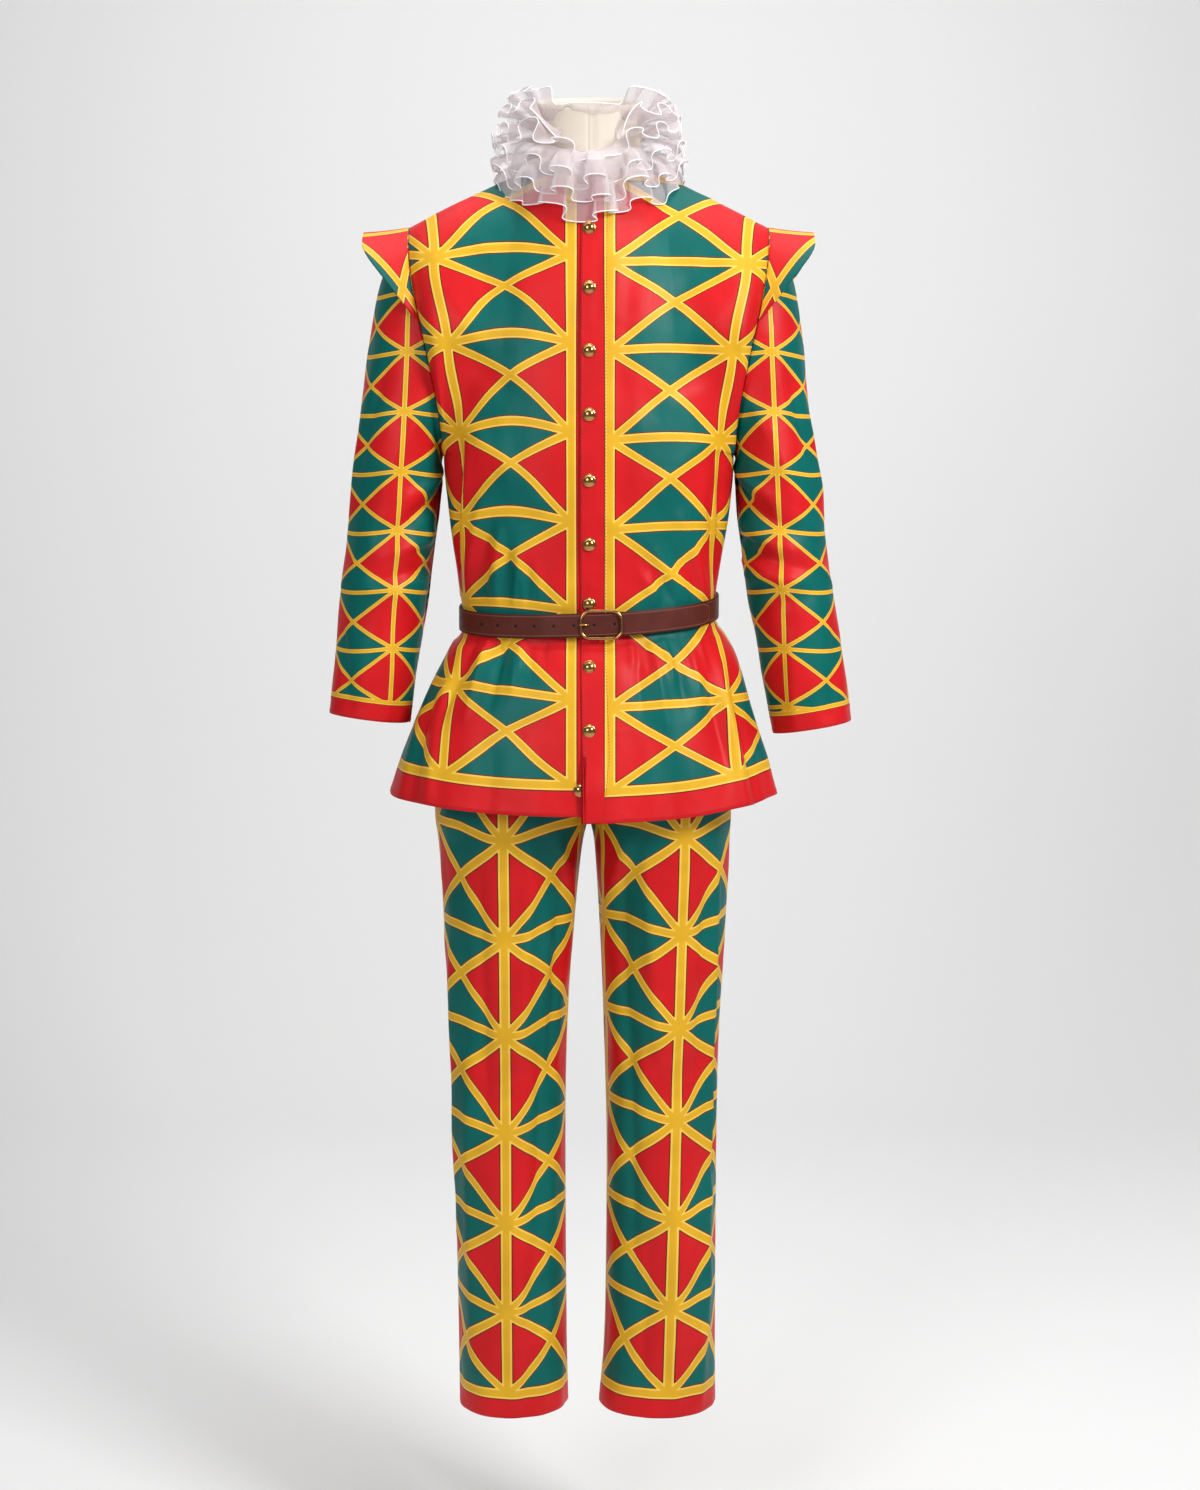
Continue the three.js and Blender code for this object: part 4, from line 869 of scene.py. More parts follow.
# The print is turned a few degrees on each wing
for arm, side, turn in (("left", 1, 2), ("right", -1, 9)):
    grid, flats, cells = [], [], []
    cos, sin = math.cos(math.radians(turn)), math.sin(math.radians(turn))
    for i in range(61):
        angle = mix(*WING_ENDS, i / 60)
        from_end = min(angle, 180 - angle) - WING_ENDS[0]
        grown = math.sin(math.radians(90 * min(1, from_end / WING_FULL_AFTER))) ** WING_SWELL
        span = WING_END_WIDTH + (WING_WIDTH - WING_END_WIDTH) * grown
        s, c = math.sin(math.radians(angle)), math.cos(math.radians(angle))
        direction = Vector((side, -WING_SPREAD * c, WING_END_RISE * abs(c) ** 3 - WING_DROOP)).normalized()
        root = armhole_point(angle, side) + Vector((0, -c, s)) * WING_CLEAR[1]
        root.x += side * WING_CLEAR[0]
        line, flat, cell = [], [], []
        for k in range(13):
            share = k / 12
            p = root + direction * span * share
            p.z += WING_CURL * share ** 2
            line.append(p)
            round_edge = math.radians(angle - 90) * WING_ROUND
            flat.append((round_edge, span * share))
            along, out = round_edge - WING_STAR[0], span * share - WING_STAR[1]
            across = (along * cos + out * sin) / JACKET_CELL[0]
            up = (out * cos - along * sin) / JACKET_CELL[1]
            cell.append((20.5 + across, 0.5 + up, 1.0))
        grid.append(line)
        flats.append(flat)
        cells.append(cell)
    node = "wing_" + arm
    wing, shaped = cloth_sheet(node + "_cloth", grid, flats, cells, WING_STIFF, "satin", node, WING_SATIN,
                               flip=side > 0)
    wing.modifiers["wall"].offset = 1
    soft = wing.modifiers.new("soft_edge", "BEVEL")
    soft.width, soft.segments, soft.limit_method = 0.0007, 2, "ANGLE"
    edge = [(row[-2][0].lerp(row[-1][0], 0.1), row[-1][1]) for row in shaped[3:-3]]
    stitches(node + "_stitches", [[(p + n * WING_STIFF, n) for p, n in edge]], "satin", RED_THREAD)


# Trousers: four panels of printed satin, sewn at the inner and outer leg and the crotch, straight in the leg
# and slightly full, with a plain band at the hem.
LEG_CELL = (0.115, 0.115)
LEG_SATIN = printed_satin("trouser_satin", *LEG_CELL, line=0.0124, band=0.0240)
LEG_COLUMNS = ("z", "inner", "outer", "front", "back", "belt")
LEGS = {
    "right": (-1, (
        (-0.544, 0, 0.147, 0.103, 0.097, 1), (-0.590, 0, 0.157, 0.108, 0.108, 0.4),
        (-0.680, 0, 0.175, 0.113, 0.122, 0),
        (-0.712, 0.0005, 0.180, 0.112, 0.122, 0), (-0.744, 0.001, 0.183, 0.108, 0.118, 0),
        (-0.776, 0.002, 0.1835, 0.102, 0.112, 0), (-0.802, 0.008, 0.180, 0.097, 0.105, 0),
        (-0.840, 0.013, 0.177, 0.092, 0.098, 0), (-0.890, 0.018, 0.1745, 0.086, 0.090, 0),
        (-0.950, 0.023, 0.1715, 0.080, 0.083, 0), (-1.020, 0.027, 0.168, 0.076, 0.077, 0),
        (-1.100, 0.0295, 0.165, 0.073, 0.073, 0), (-1.200, 0.030, 0.162, 0.070, 0.071, 0),
        (-1.400, 0.029, 0.159, 0.067, 0.068, 0), (-1.496, 0.027, 0.158, 0.066, 0.067, 0))),
    "left": (1, (
        (-0.544, 0, 0.147, 0.103, 0.097, 1), (-0.590, 0, 0.156, 0.108, 0.108, 0.4),
        (-0.680, 0, 0.167, 0.113, 0.122, 0),
        (-0.712, 0.0005, 0.1685, 0.112, 0.122, 0), (-0.744, 0.001, 0.169, 0.108, 0.118, 0),
        (-0.776, 0.002, 0.1685, 0.102, 0.112, 0), (-0.802, 0.007, 0.167, 0.097, 0.105, 0),
        (-0.840, 0.010, 0.166, 0.092, 0.098, 0), (-0.890, 0.013, 0.164, 0.086, 0.090, 0),
        (-0.950, 0.016, 0.161, 0.080, 0.083, 0), (-1.020, 0.0185, 0.157, 0.076, 0.077, 0),
        (-1.100, 0.021, 0.1545, 0.073, 0.073, 0), (-1.200, 0.0225, 0.1535, 0.070, 0.071, 0),
        (-1.400, 0.020, 0.153, 0.067, 0.068, 0), (-1.496, 0.013, 0.154, 0.066, 0.067, 0))),
}
# Where the middle seams lie, and how the hips turn into two round legs below the rise
MIDDLE = -0.002
LEG_ROUNDNESS = 2.1
RISE_LEVEL = -0.680
RISE_HEIGHT = 0.096
LEG_HEM = -1.496
LEG_HEM_STITCHES = 0.021
# The front line of stars of each leg, as x and z of its ends, and the levels of its stars from the top down
LEG_STARS = {
    "right": ((-0.099, -0.79), (-0.098, -1.46),
              (-0.560, -0.677, -0.793, -0.912, -1.028, -1.145, -1.255, -1.364, -1.4656)),
    "left": ((0.112, -0.79), (0.095, -1.46),
             (-0.560, -0.674, -0.788, -0.905, -1.019, -1.130, -1.250, -1.359, -1.4656)),
}
# The side stars stand higher than the front ones, and come level with them at the hem: by how much, and over
# what width
STARS_RISE = (0.019, 0.046)
LEG_CREASES = {
    "right": (
        (34, -800, 16, -1060, 11, -6.3), (-30, -820, -22, -1130, 13, 5.2), (48, -1000, 36, -1330, 12, 5.5),
        (-50, -1060, -46, -1440, 13, -5.2), (6, -1120, 14, -1480, 13, -4.5), (74, -830, 62, -1080, 10, 5.2),
        (66, -790, 104, -880, 10, -6), (-76, -880, -80, -1280, 14, -5.5), (30, -1300, 24, -1490, 12, 4.2),
    ),
    "left": (
        (-44, -810, -22, -1060, 11, -6), (34, -820, 24, -1120, 12, 5), (-58, -1000, -46, -1330, 12, 5.2),
        (50, -840, 52, -1240, 8, -7.2), (62, -900, 62, -1200, 7, 5), (0, -1120, 10, -1480, 13, -4.5),
        (-74, -830, -62, -1080, 10, 5.2), (-66, -790, -104, -880, 10, -6), (54, -1230, 44, -1480, 10, -5.7),
        (-28, -1280, -34, -1490, 12, 4.2),
    ),
}
BACK_LEG_CREASES = (
    (-40, -830, -20, -1080, 12, -6), (40, -830, 20, -1080, 12, -6), (0, -940, 10, -1320, 14, 5.2),
    (-62, -1000, -50, -1370, 13, 5.2), (62, -1020, 50, -1420, 13, -5.2), (-20, -1180, -30, -1480, 12, -4.7),
    (30, -1250, 34, -1490, 12, 4.5),
)


def trouser_point(row, share, side, is_front):
    half = (row["outer"] - row["inner"]) / 2
    leg = oval(-90 + 180 * share, half, row["front"], row["back"], LEG_ROUNDNESS)
    hip = oval(90 * share, row["outer"], row["front"], row["back"], BODY_ROUNDNESS)
    to_leg = smooth((RISE_LEVEL - row["z"]) / RISE_HEIGHT)
    out = mix(hip[0], row["inner"] + half + leg[0], to_leg)
    y = mix(hip[1], leg[1], to_leg) * (1 if is_front else -row["back"] / row["front"])
    tilt = belt_tilt(math.radians(side * (90 * share if is_front else 180 - 90 * share)))
    point = Vector((mix(MIDDLE, 0, to_leg) + side * out, y, row["z"] + tilt * row["belt"]))
    point.y = min(point.y, -SEAM / 2) if is_front else max(point.y, SEAM / 2)
    point.x = MIDDLE + side * max(side * (point.x - MIDDLE), SEAM / 2)
    return point


def star_place(levels, z):
    """How many cells below the first star a level lies."""
    for i, (a, b) in enumerate(zip(levels, levels[1:])):
        if z >= b or i == len(levels) - 2:
            return i + (z - a) / (b - a)


for leg, (side, rows) in LEGS.items():
    rows = [dict(zip(LEG_COLUMNS, row)) for row in rows]
    (x1, z1), (x2, z2), levels = LEG_STARS[leg]
    for is_front in (True, False):
        face = "front" if is_front else "back"
        grid, flats, cells = [], [], []
        shares = [i / 60 for i in range(61)]
        for place in steps_between(rows, "z", 0.007):
            row = row_between(rows, place)
            row["inner"] = max(0.0, row["inner"])
            grid.append([trouser_point(row, s, side, is_front) for s in shares])
        for line in grid:
            runs = runs_along(line)
            star_x = mix(x1, x2, min(1, max(0, (line[0].z - z1) / (z2 - z1))))
            zero = next(mix(r, s, (star_x - a.x) / (b.x - a.x))
                        for a, b, r, s in zip(line, line[1:], runs, runs[1:])
                        if side * (b.x - star_x) >= 0)
            flat, cell = [], []
            for p, r in zip(line, runs):
                u = r - zero
                flat.append((side * u, p.z))
                across = side * u / LEG_CELL[0] + (0 if is_front else 0.5)
                rise = STARS_RISE[0] * (1 - math.exp(-((u / STARS_RISE[1]) ** 2))) if is_front else 0.004
                rise *= smooth((p.z + 1.466) / 0.10)
                cell.append((across + 20, star_place(levels, p.z - rise), p.z - LEG_HEM))
            flats.append(flat)
            cells.append(cell)
        node = "trouser_%s_%s" % (face, leg)
        creases = LEG_CREASES[leg] if is_front else BACK_LEG_CREASES
        panel, shaped = cloth_sheet(node + "_cloth", grid, flats, cells, CLOTH, "satin", node, LEG_SATIN,
                                    creases, flip=(side > 0) != is_front, sewn="first", fade=26,
                                    wander=0.0030)
        stitches(node + "_stitches", [row_above(shaped[::-1], LEG_HEM_STITCHES)], "satin", RED_THREAD)


# Trouser waistband: a plain red satin band, folded over elastic and sewn to the tops of the four panels. It
# sits inside the jacket, behind the belt, and doesn't show.
PLAIN_SATIN, w, shader = material("plain_red_satin")
shader.inputs["Base Color"].default_value = RED
shader.inputs["Roughness"].default_value = 0.4
shader.inputs["Sheen Weight"].default_value = 0.2
weave_group = w.node("ShaderNodeGroup", node_tree=weave)
w.put(weave_group.inputs["Cloth"], w.node("ShaderNodeUVMap", uv_map="cloth").outputs[0])
bump = w.node("ShaderNodeBump")
bump.inputs["Strength"].default_value = 0.15
bump.inputs["Distance"].default_value = 0.0003
w.put(bump.inputs["Height"], weave_group.outputs["Height"])
w.put(shader.inputs["Normal"], bump.outputs[0])

WAISTBAND_HEIGHT = 0.029
WAIST = next(row for row in BODY_ROWS if row["belt"] == 1)


def waist_point(degrees, grow, height):
    x, y = oval(degrees, WAIST["half_width"] + grow, WAIST["front"] + grow, WAIST["back"] + grow,
                BODY_ROUNDNESS)
    return Vector((x, y, BELT_LEVEL + belt_tilt(math.radians(degrees)) + height))


grid, flats = [], []
for i in range(7):
    height = mix(-WAISTBAND_HEIGHT / 2, WAISTBAND_HEIGHT / 2, i / 6) + 0.0004
    grid.append([waist_point(3 * k, -CLOTH - SEAM - 0.0003 * abs(math.sin(k * 1.3)), height)
                 for k in range(120)])
    flats.append([(0.007 * k, height) for k in range(121)])
waistband, _ = cloth_sheet("trouser_waistband_cloth", grid, flats, [[(0, 0, 0)] * 121] * 7, CLOTH,
                           "waistband", "trouser_waistband", PLAIN_SATIN, closed=True)


# Belt: one strap of dark brown leather with burnished round edges, punched with a row of holes, which goes
# round from the buckle's bar and comes back over itself as a loose tail with a blunt tip.
BELT_HEIGHT = 0.0274
LEATHER = 0.003
HOLE_SPACING = 0.0234
HOLE_RADIUS = 0.0015
# The buckle's middle, width and height
BUCKLE = (0.014, 0.050, 0.035)
BUCKLE_CORNER = 0.013
# Where the belt ends, in degrees round the waist and once more past the buckle, and how long its tip is, in
# degrees and in metres
BELT_TO = 360 + 62
TIP = 7
TIP_LENGTH = 0.017
TIP_BLUNT = 0.85


def belt_offset(station):
    turned = smooth((station - 334) / 20)
    angle = (station + 180) % 360 - 180
    over_front = 1 - smooth((abs(angle) - 16) / 14)
    return SEAM + (OVER_LIFT + SEAM + 0.0001) * over_front + (LEATHER + SEAM) * turned


belt_from = angle_of_x(0.020, WAIST["half_width"])
stations = [mix(belt_from, BELT_TO, i / 330) for i in range(331)]
stations += [BELT_TO - s for s in (0.9, 0.6, 0.3, 0.1, 0.04)]
stations.sort()
# The strap's edge is worn round: the places across it, and how far down each lies, in shares
ACROSS = (-1, -0.97, -0.88, -0.78, -0.5, -0.2, 0.2, 0.5, 0.78, 0.88, 0.97, 1)
DOMED = (0.45, 0.18, 0.03, 0, 0, 0, 0, 0, 0, 0.03, 0.18, 0.45)
middles = [waist_point(s, belt_offset(s) + LEATHER, 0) for s in stations]
lengths = [0.0]
for a, b in zip(middles, middles[1:]):
    lengths.append(lengths[-1] + (b - a).length)
# The prong goes through the hole at this length, and the others are counted from it
prong_angle = 360 + angle_of_x(BUCKLE[0] - BUCKLE[1] / 2 + 0.012, WAIST["half_width"])
hole_run = next(run for run, s in zip(lengths, stations) if s >= prong_angle)
grid, flats, cells = [], [], []
for s, run in zip(stations, lengths):
    from_tip = min(1, (BELT_TO - s) / TIP)
    half = BELT_HEIGHT / 2 * math.sqrt(1 - (1 - from_tip) ** 2 * TIP_BLUNT)
    grid.append([waist_point(s, belt_offset(s) + LEATHER * (1 - d * 0.35), half * a)
                 for a, d in zip(ACROSS, DOMED)])
    flats.append([(run, half * a) for a in ACROSS])
    to_end = TIP_LENGTH * (BELT_TO - s) / TIP
    cells.append([((run - hole_run) / HOLE_SPACING, half * a, min(half * (1 - abs(a)), to_end))
                  for a in ACROSS])

# Dark brown leather: fine grain, mottled tone, punched holes with a pressed rim and painted shade in them,
# painted shade along the edges, and a crease line painted lighter as its highlight
BROWN_LEATHER, w, shader = material("brown_leather")
cloth = w.node("ShaderNodeUVMap", uv_map="cloth").outputs[0]
grain = w.node("ShaderNodeTexVoronoi", feature="SMOOTH_F1")
w.put(grain.inputs["Vector"], cloth)
grain.inputs["Scale"].default_value = 900
mottle = w.node("ShaderNodeTexNoise")
w.put(mottle.inputs["Vector"], cloth)
mottle.inputs["Scale"].default_value = 60
mottle.inputs["Detail"].default_value = 4
place = w.node("ShaderNodeSeparateXYZ")
w.put(place.inputs[0], w.node("ShaderNodeAttribute", attribute_name="cells").outputs["Vector"])
along = w.maths("MULTIPLY", w.maths("PINGPONG", place.outputs[0], 0.5), HOLE_SPACING)
from_hole = w.maths("SQRT", w.maths("ADD", w.maths("POWER", along, 2.0),
                                    w.maths("POWER", place.outputs[1], 2.0)))
punched = w.maths("LESS_THAN", w.maths("ABSOLUTE", w.maths("ADD", place.outputs[0], 2.5)), 3.8)
# Painted shade: the punched holes are coloured almost black, for the shade inside them
hole = w.maths("MULTIPLY", w.ramp_between(from_hole, 0.0020, HOLE_RADIUS), punched)
rim = w.maths("MULTIPLY", w.ramp_between(from_hole, 0.0032, 0.0020), punched)
tone = w.mix(mottle.outputs[0], (0.062, 0.012, 0.008, 1), (0.105, 0.021, 0.013, 1))
# Painted shade: a dark band along the strap's edges and round its tip
edge = w.ramp_between(place.outputs[2], 0.0018, 0.0006)
# A crease line a little in from the edge, painted lighter as its highlight
crease_highlight = w.ramp_between(w.maths("ABSOLUTE", w.maths("SUBTRACT", place.outputs[2], 0.0027)), 0.0008, 0.0003)
tone = w.mix(w.maths("MULTIPLY", edge, 0.75), tone, (0.025, 0.008, 0.006, 1))
tone = w.mix(w.maths("MULTIPLY", crease_highlight, 0.7), tone, (0.19, 0.06, 0.042, 1))
w.put(shader.inputs["Base Color"], w.mix(hole, tone, (0.008, 0.004, 0.003, 1)))
shader.inputs["Roughness"].default_value = 0.46
shader.inputs["Specular IOR Level"].default_value = 0.18
bump = w.node("ShaderNodeBump")
bump.inputs["Strength"].default_value = 0.35
bump.inputs["Distance"].default_value = 0.0004
fine = w.maths("MULTIPLY", grain.outputs[0], 0.5)
w.put(bump.inputs["Height"], w.maths("SUBTRACT", fine, w.maths("MULTIPLY", rim, 3.0)))
w.put(shader.inputs["Normal"], bump.outputs[0])
belt, _ = cloth_sheet("belt_strap_leather", grid, flats, cells, LEATHER, "leather", "belt_strap",
                      BROWN_LEATHER)
belt.modifiers["wall"].offset = 1
belt_edge = belt.modifiers.new("round_edge", "BEVEL")
belt_edge.width, belt_edge.segments, belt_edge.limit_method = 0.0007, 2, "ANGLE"


# Buckle and prong: polished brass wire, bent to a rounded frame with a bar behind it, and a thinner bent
# prong that goes through a hole of the belt's tail and rests on the frame.
BRASS, w, shader = material("polished_brass")
shader.inputs["Base Color"].default_value = (0.46, 0.245, 0.085, 1)
shader.inputs["Metallic"].default_value = 1
scuffs = w.node("ShaderNodeTexNoise")
w.put(scuffs.inputs["Vector"], w.node("ShaderNodeTexCoord").outputs["Object"])
scuffs.inputs["Scale"].default_value = 350
w.put(shader.inputs["Roughness"], w.maths("ADD", 0.10, w.maths("MULTIPLY", scuffs.outputs[0], 0.14)))


def wire(name, lines, surface, slot, *nodes):
    """Round wire along lines of (point, radius), each open or closed."""
    curve = bpy.data.curves.new(name, "CURVE")
    curve.dimensions = "3D"
    curve.bevel_depth = 1
    curve.bevel_resolution = 3
    curve.use_fill_caps = True
    for points, closed in lines:
        spline = curve.splines.new("POLY")
        spline.points.add(len(points) - 1)
        for made, (point, radius) in zip(spline.points, points):
            made.co = (*point, 1)
            made.radius = radius
        spline.use_cyclic_u = closed
        spline.use_smooth = True
    drawn = bpy.data.objects.new(name + "_line", curve)
    scene.collection.objects.link(drawn)
    mesh = bpy.data.meshes.new_from_object(drawn.evaluated_get(bpy.context.evaluated_depsgraph_get()))
    bpy.data.objects.remove(drawn)
    bpy.data.curves.remove(curve)
    mesh.name = name
    mesh.materials.clear()
    return finished(name, mesh, surface, slot, *nodes)


def rounded(width, height, corner, steps=10):
    points = []
    for x, y, start in ((1, -1, -90), (1, 1, 0), (-1, 1, 90), (-1, -1, 180)):
        for i in range(steps + 1):
            angle = math.radians(start + 90 * i / steps)
            points.append(Vector((x * (width / 2 - corner) + corner * math.cos(angle), 0,
                                  y * (height / 2 - corner) + corner * math.sin(angle))))
    return points


FRAME_WIRE = 0.0034
BAR_RADIUS = 0.00125
buckle_angle = angle_of_x(BUCKLE[0], WAIST["half_width"])
face = waist_point(buckle_angle, belt_offset(360 + buckle_angle) + LEATHER + SEAM, 0)
middle_line = rounded(BUCKLE[1] - FRAME_WIRE, BUCKLE[2] - FRAME_WIRE, BUCKLE_CORNER - FRAME_WIRE / 2)
frame_line = [(face + p + Vector((0, -0.0014, 0)), FRAME_WIRE / 2) for p in middle_line]
half = BUCKLE[2] / 2 - 0.0016
bar_line = [(face + Vector((0, y, z)), BAR_RADIUS) for y, z in (
    (-0.0014, -half), (0.0012, -half + 0.0004), (0.0042, -half + 0.0012), (0.0047, -half + 0.004),
    (0.0047, half - 0.004), (0.0042, half - 0.0012), (0.0012, half - 0.0004), (-0.0014, half))]
wire("belt_buckle_wire", [(frame_line, True), (bar_line, False)], BRASS, "brass", "belt_buckle")
# The prong's points from the frame's outer edge, forward of the strap's face, and its radius there
far = -BUCKLE[1] / 2
prong_line = [(face + Vector((far + x, -y, 0)), r) for x, y, r in (
    (0.0120, 0.0002, 0.0009), (0.0112, 0.0012, 0.0011), (0.0095, 0.0024, 0.0011), (0.0072, 0.0036, 0.0011),
    (0.0050, 0.0042, 0.0011), (0.0034, 0.0044, 0.0011), (0.0014, 0.0043, 0.0010), (-0.0002, 0.0040, 0.0008),
    (-0.0006, 0.0038, 0.0004))]
wire("belt_prong_wire", [(prong_line, False)], BRASS, "brass", "belt_prong")


# Buttons: ten domed buttons pressed from brass, with a rolled rim, sewn on through a shank behind. Nine close
# the over front, and the tenth sits low on the under front.
BUTTON_RADIUS = 0.0076
BUTTON_HEIGHT = 0.0046
# Radius and height of the dome, from the middle of its back over the rim to the top
BUTTON_PROFILE = (
    (0.0, 0.0), (0.0066, 0.0), (0.0074, 0.0004), (BUTTON_RADIUS, 0.0011), (0.0073, 0.0017), (0.0066, 0.0018),
    (0.0061, 0.0021), (0.0052, 0.0031), (0.0038, 0.0039), (0.0020, 0.0044), (0.0, BUTTON_HEIGHT),
)
for number in range(1, 11):
    node = "button_%02d" % number
    low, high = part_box(node)
    bm = bmesh.new()
    verts = [bm.verts.new((radius, -height, 0)) for radius, height in BUTTON_PROFILE]
    edges = [bm.edges.new(pair) for pair in zip(verts, verts[1:])]
    bmesh.ops.spin(bm, geom=verts + edges, cent=(0, 0, 0), axis=(0, 1, 0), angle=math.tau, steps=28,
                   use_merge=True)
    bmesh.ops.remove_doubles(bm, verts=bm.verts, dist=1e-6)
    bmesh.ops.recalc_face_normals(bm, faces=bm.faces)
    # The button leans with the cloth, as far as its box is deeper than the button is high
    lean = math.atan2(max(0.0, (high[1] - low[1]) - 0.0047), 2 * BUTTON_RADIUS) * 1.05
    middle = Vector([(a + b) / 2 for a, b in zip(low, high)])
    to_middle = Matrix.Translation((0, BUTTON_HEIGHT / 2, 0))
    bmesh.ops.transform(bm, verts=bm.verts,
                        matrix=Matrix.Translation(middle) @ Matrix.Rotation(-lean, 4, "X") @ to_middle)
    finished(node + "_dome", from_bmesh(node + "_dome", bm), BRASS, "brass", node)


# Ruff band: a standing collar of cream cotton, folded double and sewn into the neckline. Its ends meet at the
# front with a soft ridge.
CREAM, w, shader = material("cream_cotton")
shader.inputs["Base Color"].default_value = (0.60, 0.53, 0.45, 1)
shader.inputs["Roughness"].default_value = 0.85
shader.inputs["Sheen Weight"].default_value = 0.2
threads = w.node("ShaderNodeTexNoise")
w.put(threads.inputs["Vector"], w.node("ShaderNodeUVMap", uv_map="cloth").outputs[0])
threads.inputs["Scale"].default_value = 900
bump = w.node("ShaderNodeBump")
bump.inputs["Strength"].default_value = 0.25
bump.inputs["Distance"].default_value = 0.0004
w.put(bump.inputs["Height"], threads.outputs[0])
w.put(shader.inputs["Normal"], bump.outputs[0])
BAND_HEIGHT = 0.076
BAND_SUNK = 0.003
# The ridge where the ends meet: its angle, half width in degrees and depth
BAND_RIDGE = (4, 3.2, 0.0022)
grid, flats = [], []
for i in range(15):
    share = i / 14
    line = []
    for k in range(120):
        degrees = 3 * k
        away = (degrees - BAND_RIDGE[0] + 540) % 360 - 180
        inwards = SEAM + BAND_RIDGE[2] * math.exp(-((away / BAND_RIDGE[1]) ** 2)) * smooth(share * 2)
        inwards += 0.0008 * math.sin(math.radians(5 * degrees + 40)) * share
        s, c = math.sin(math.radians(degrees)), math.cos(math.radians(degrees))
        line.append(Vector(((NECK[0] - inwards) * s, -(NECK[1] - inwards) * c,
                            NECK_LEVEL - NECK_LEAN * c + mix(-BAND_SUNK, BAND_HEIGHT, share))))
    grid.append(line)
    flats.append([(0.0034 * k, share * BAND_HEIGHT) for k in range(121)])
band, _ = cloth_sheet("ruff_band_cloth", grid, flats, [[(0, 0, 0)] * 121] * 15, CLOTH, "ruff_band",
                      "ruff_band", CREAM, closed=True)


# Ruff: frills of white organza, gathered on to the band one above the other, each free edge rolled over a
# thin satin cord. The lower frills droop on the shoulders, the upper ones stand, and open in a V in front.
ORGANZA, w, shader = material("white_organza")
shader.inputs["Base Color"].default_value = (0.66, 0.58, 0.60, 1)
shader.inputs["Roughness"].default_value = 0.45
shader.inputs["Sheen Weight"].default_value = 0.2
facing = w.node("ShaderNodeLayerWeight")
facing.inputs["Blend"].default_value = 0.35
edge_on = w.maths("MULTIPLY", facing.outputs["Facing"], 0.5)
w.put(shader.inputs["Alpha"], w.maths("ADD", 0.32, edge_on, clamp=True))
WHITE_CORD, w, shader = material("white_satin_cord")
shader.inputs["Base Color"].default_value = (0.84, 0.81, 0.84, 1)
shader.inputs["Roughness"].default_value = 0.3
# Each frill: waves, wave height, sideways swing, and then at 0, 45, 90, 135 and 180 degrees from the front
# the lift of its sewn edge above the neckline and the radius and level of its free edge
FRILLS = {
    1: ((13, 0.0045, 0.0070, "droop", (0.006, 0.006, 0.006, 0.006, 0.006),
         (0.104, 0.106, 0.111, 0.104, 0.100), (-0.083, -0.062, -0.026, -0.020, -0.020)),),
    2: ((15, 0.0085, 0.0068, "droop", (0.016, 0.016, 0.018, 0.018, 0.018),
         (0.106, 0.109, 0.114, 0.106, 0.102), (-0.062, -0.040, -0.008, 0.000, 0.000)),),
    3: ((16, 0.0100, 0.0064, "droop", (0.024, 0.030, 0.033, 0.033, 0.033),
         (0.102, 0.106, 0.113, 0.105, 0.102), (-0.044, -0.016, 0.016, 0.020, 0.020)),
        (14, 0.0100, 0.0068, "stand", (0.026, 0.040, 0.046, 0.048, 0.048),
         (0.088, 0.099, 0.108, 0.104, 0.101), (-0.022, 0.020, 0.036, 0.040, 0.040))),
    4: ((13, 0.0090, 0.0066, "top", (0.052, 0.048, 0.050, 0.050, 0.050),
         (0.072, 0.092, 0.103, 0.102, 0.100), (0.012, 0.046, 0.054, 0.056, 0.056)),
        (15, 0.0065, 0.0055, "top", (0.067, 0.058, 0.056, 0.058, 0.060),
         (0.068, 0.081, 0.092, 0.096, 0.098), (0.0505, 0.070, 0.072, 0.073, 0.073))),
}
# The radius at which the frills, gathered from straight strips 50 mm wide, are sewn on round the neck
SEWN_RADIUS = 0.0652
CORD_RADIUS = 0.0007
FRILL_ROWS = 10
POINTS_PER_WAVE = 26
# The lower frill of the top tier is left open at the front, and the tier fades in past the V, both in
# degrees to each side
TOP_OPENING = 27
V_EDGE = (29, 12)


def at_turn(values, degrees):
    i = min(int(degrees / 45), 3)
    return mix(values[i], values[i + 1], smooth(degrees / 45 - i))


def uneven(seed):
    """A slow wander round the neck, between -1 and 1."""
    chance = random.Random(seed)
    parts = [(turns, chance.uniform(0, math.tau), chance.uniform(0.5, 1)) for turns in (2, 3, 5, 7, 11)]
    return lambda degrees: sum(a * math.sin(n * math.radians(degrees) + p) for n, p, a in parts) / 2.6


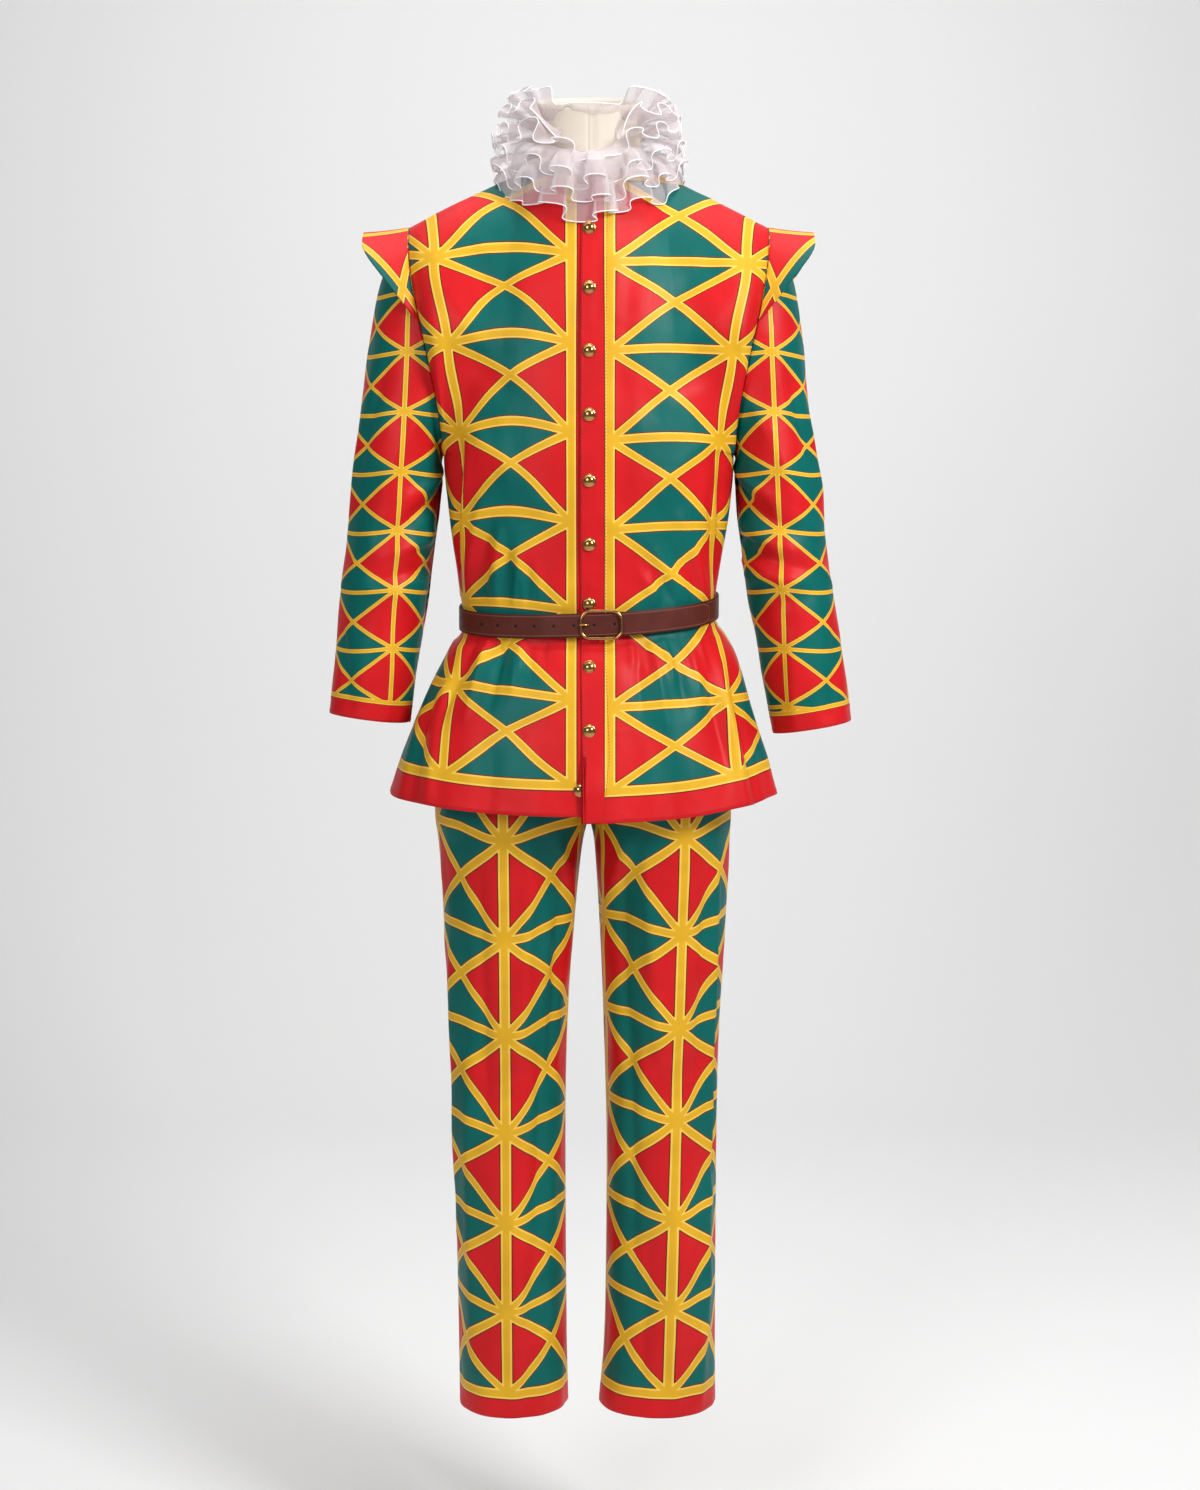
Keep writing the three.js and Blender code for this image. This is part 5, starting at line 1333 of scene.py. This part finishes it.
for tier, frills in FRILLS.items():
    bm = bmesh.new()
    edges = []
    for f, (waves, height, swing, kind, lifts, radii, levels) in enumerate(frills):
        wander, swell, tall = uneven(10 * tier + f), uneven(10 * tier + f + 50), uneven(10 * tier + f + 90)
        count = waves * POINTS_PER_WAVE
        made = bmesh.ops.create_grid(bm, x_segments=count, y_segments=FRILL_ROWS, size=1)["verts"]
        made.sort(key=lambda v: (round(v.co.y, 5), round(v.co.x, 5)))
        edge, angle_at = [], {}
        opening = TOP_OPENING if kind == "top" and f == 0 else 0
        for i, vert in enumerate(made):
            r, c = divmod(i, count + 1)
            share = r / FRILL_ROWS
            degrees = 360 * (c % count) / count
            s, k = math.sin(math.radians(degrees)), math.cos(math.radians(degrees))
            turn = math.radians(waves * degrees) + 1.1 * wander(degrees)
            size = 1 + 0.45 * swell(degrees)
            away = angle_at[vert] = abs((degrees + 180) % 360 - 180)
            gap = smooth((away - V_EDGE[0]) / V_EDGE[1]) if kind == "top" else 1
            wide = mix(0, max(45, away), gap) if kind == "top" else away
            sewn_z = NECK_LEVEL - NECK_LEAN * k + at_turn(lifts, wide)
            free, level = at_turn(radii, wide), at_turn(levels, wide) + 0.004 * tall(degrees) * gap
            if kind == "droop":
                out, fall = math.sin(share * math.pi / 2), 1 - math.cos(share * math.pi / 2)
            else:
                out, fall = share ** 1.3, share
            radius, z = mix(SEWN_RADIUS, free, out), mix(sewn_z, level, fall)
            lean = Vector((-(level - sewn_z), free - SEWN_RADIUS)).normalized()
            grown = (0.10 + 0.90 * share) * share ** 0.5
            lift = height * size * math.sin(turn) * grown * mix(0.2, 1, gap)
            slide = -swing * size * math.sin(2 * turn + 0.3 * swell(degrees)) * grown * mix(0.2, 1, gap)
            radius += lift * lean.x
            z += lift * lean.y
            vert.co = (radius * s + slide * k, -radius * k + slide * s, z)
            if r == FRILL_ROWS and c < count and away >= opening:
                edge.append((vert.co.copy(), CORD_RADIUS))
        edges.append((edge, opening == 0))
        bmesh.ops.delete(bm, geom=[v for v in made if angle_at[v] < opening], context="VERTS")
    bmesh.ops.remove_doubles(bm, verts=bm.verts, dist=1e-6)
    bmesh.ops.recalc_face_normals(bm, faces=bm.faces)
    name = "ruff_frill_%d" % tier
    frill = finished(name, from_bmesh(name, bm), ORGANZA, "organza", "ruff_tier_%d" % tier)
    cord = wire(name + "_cord", edges, WHITE_CORD, "organza")
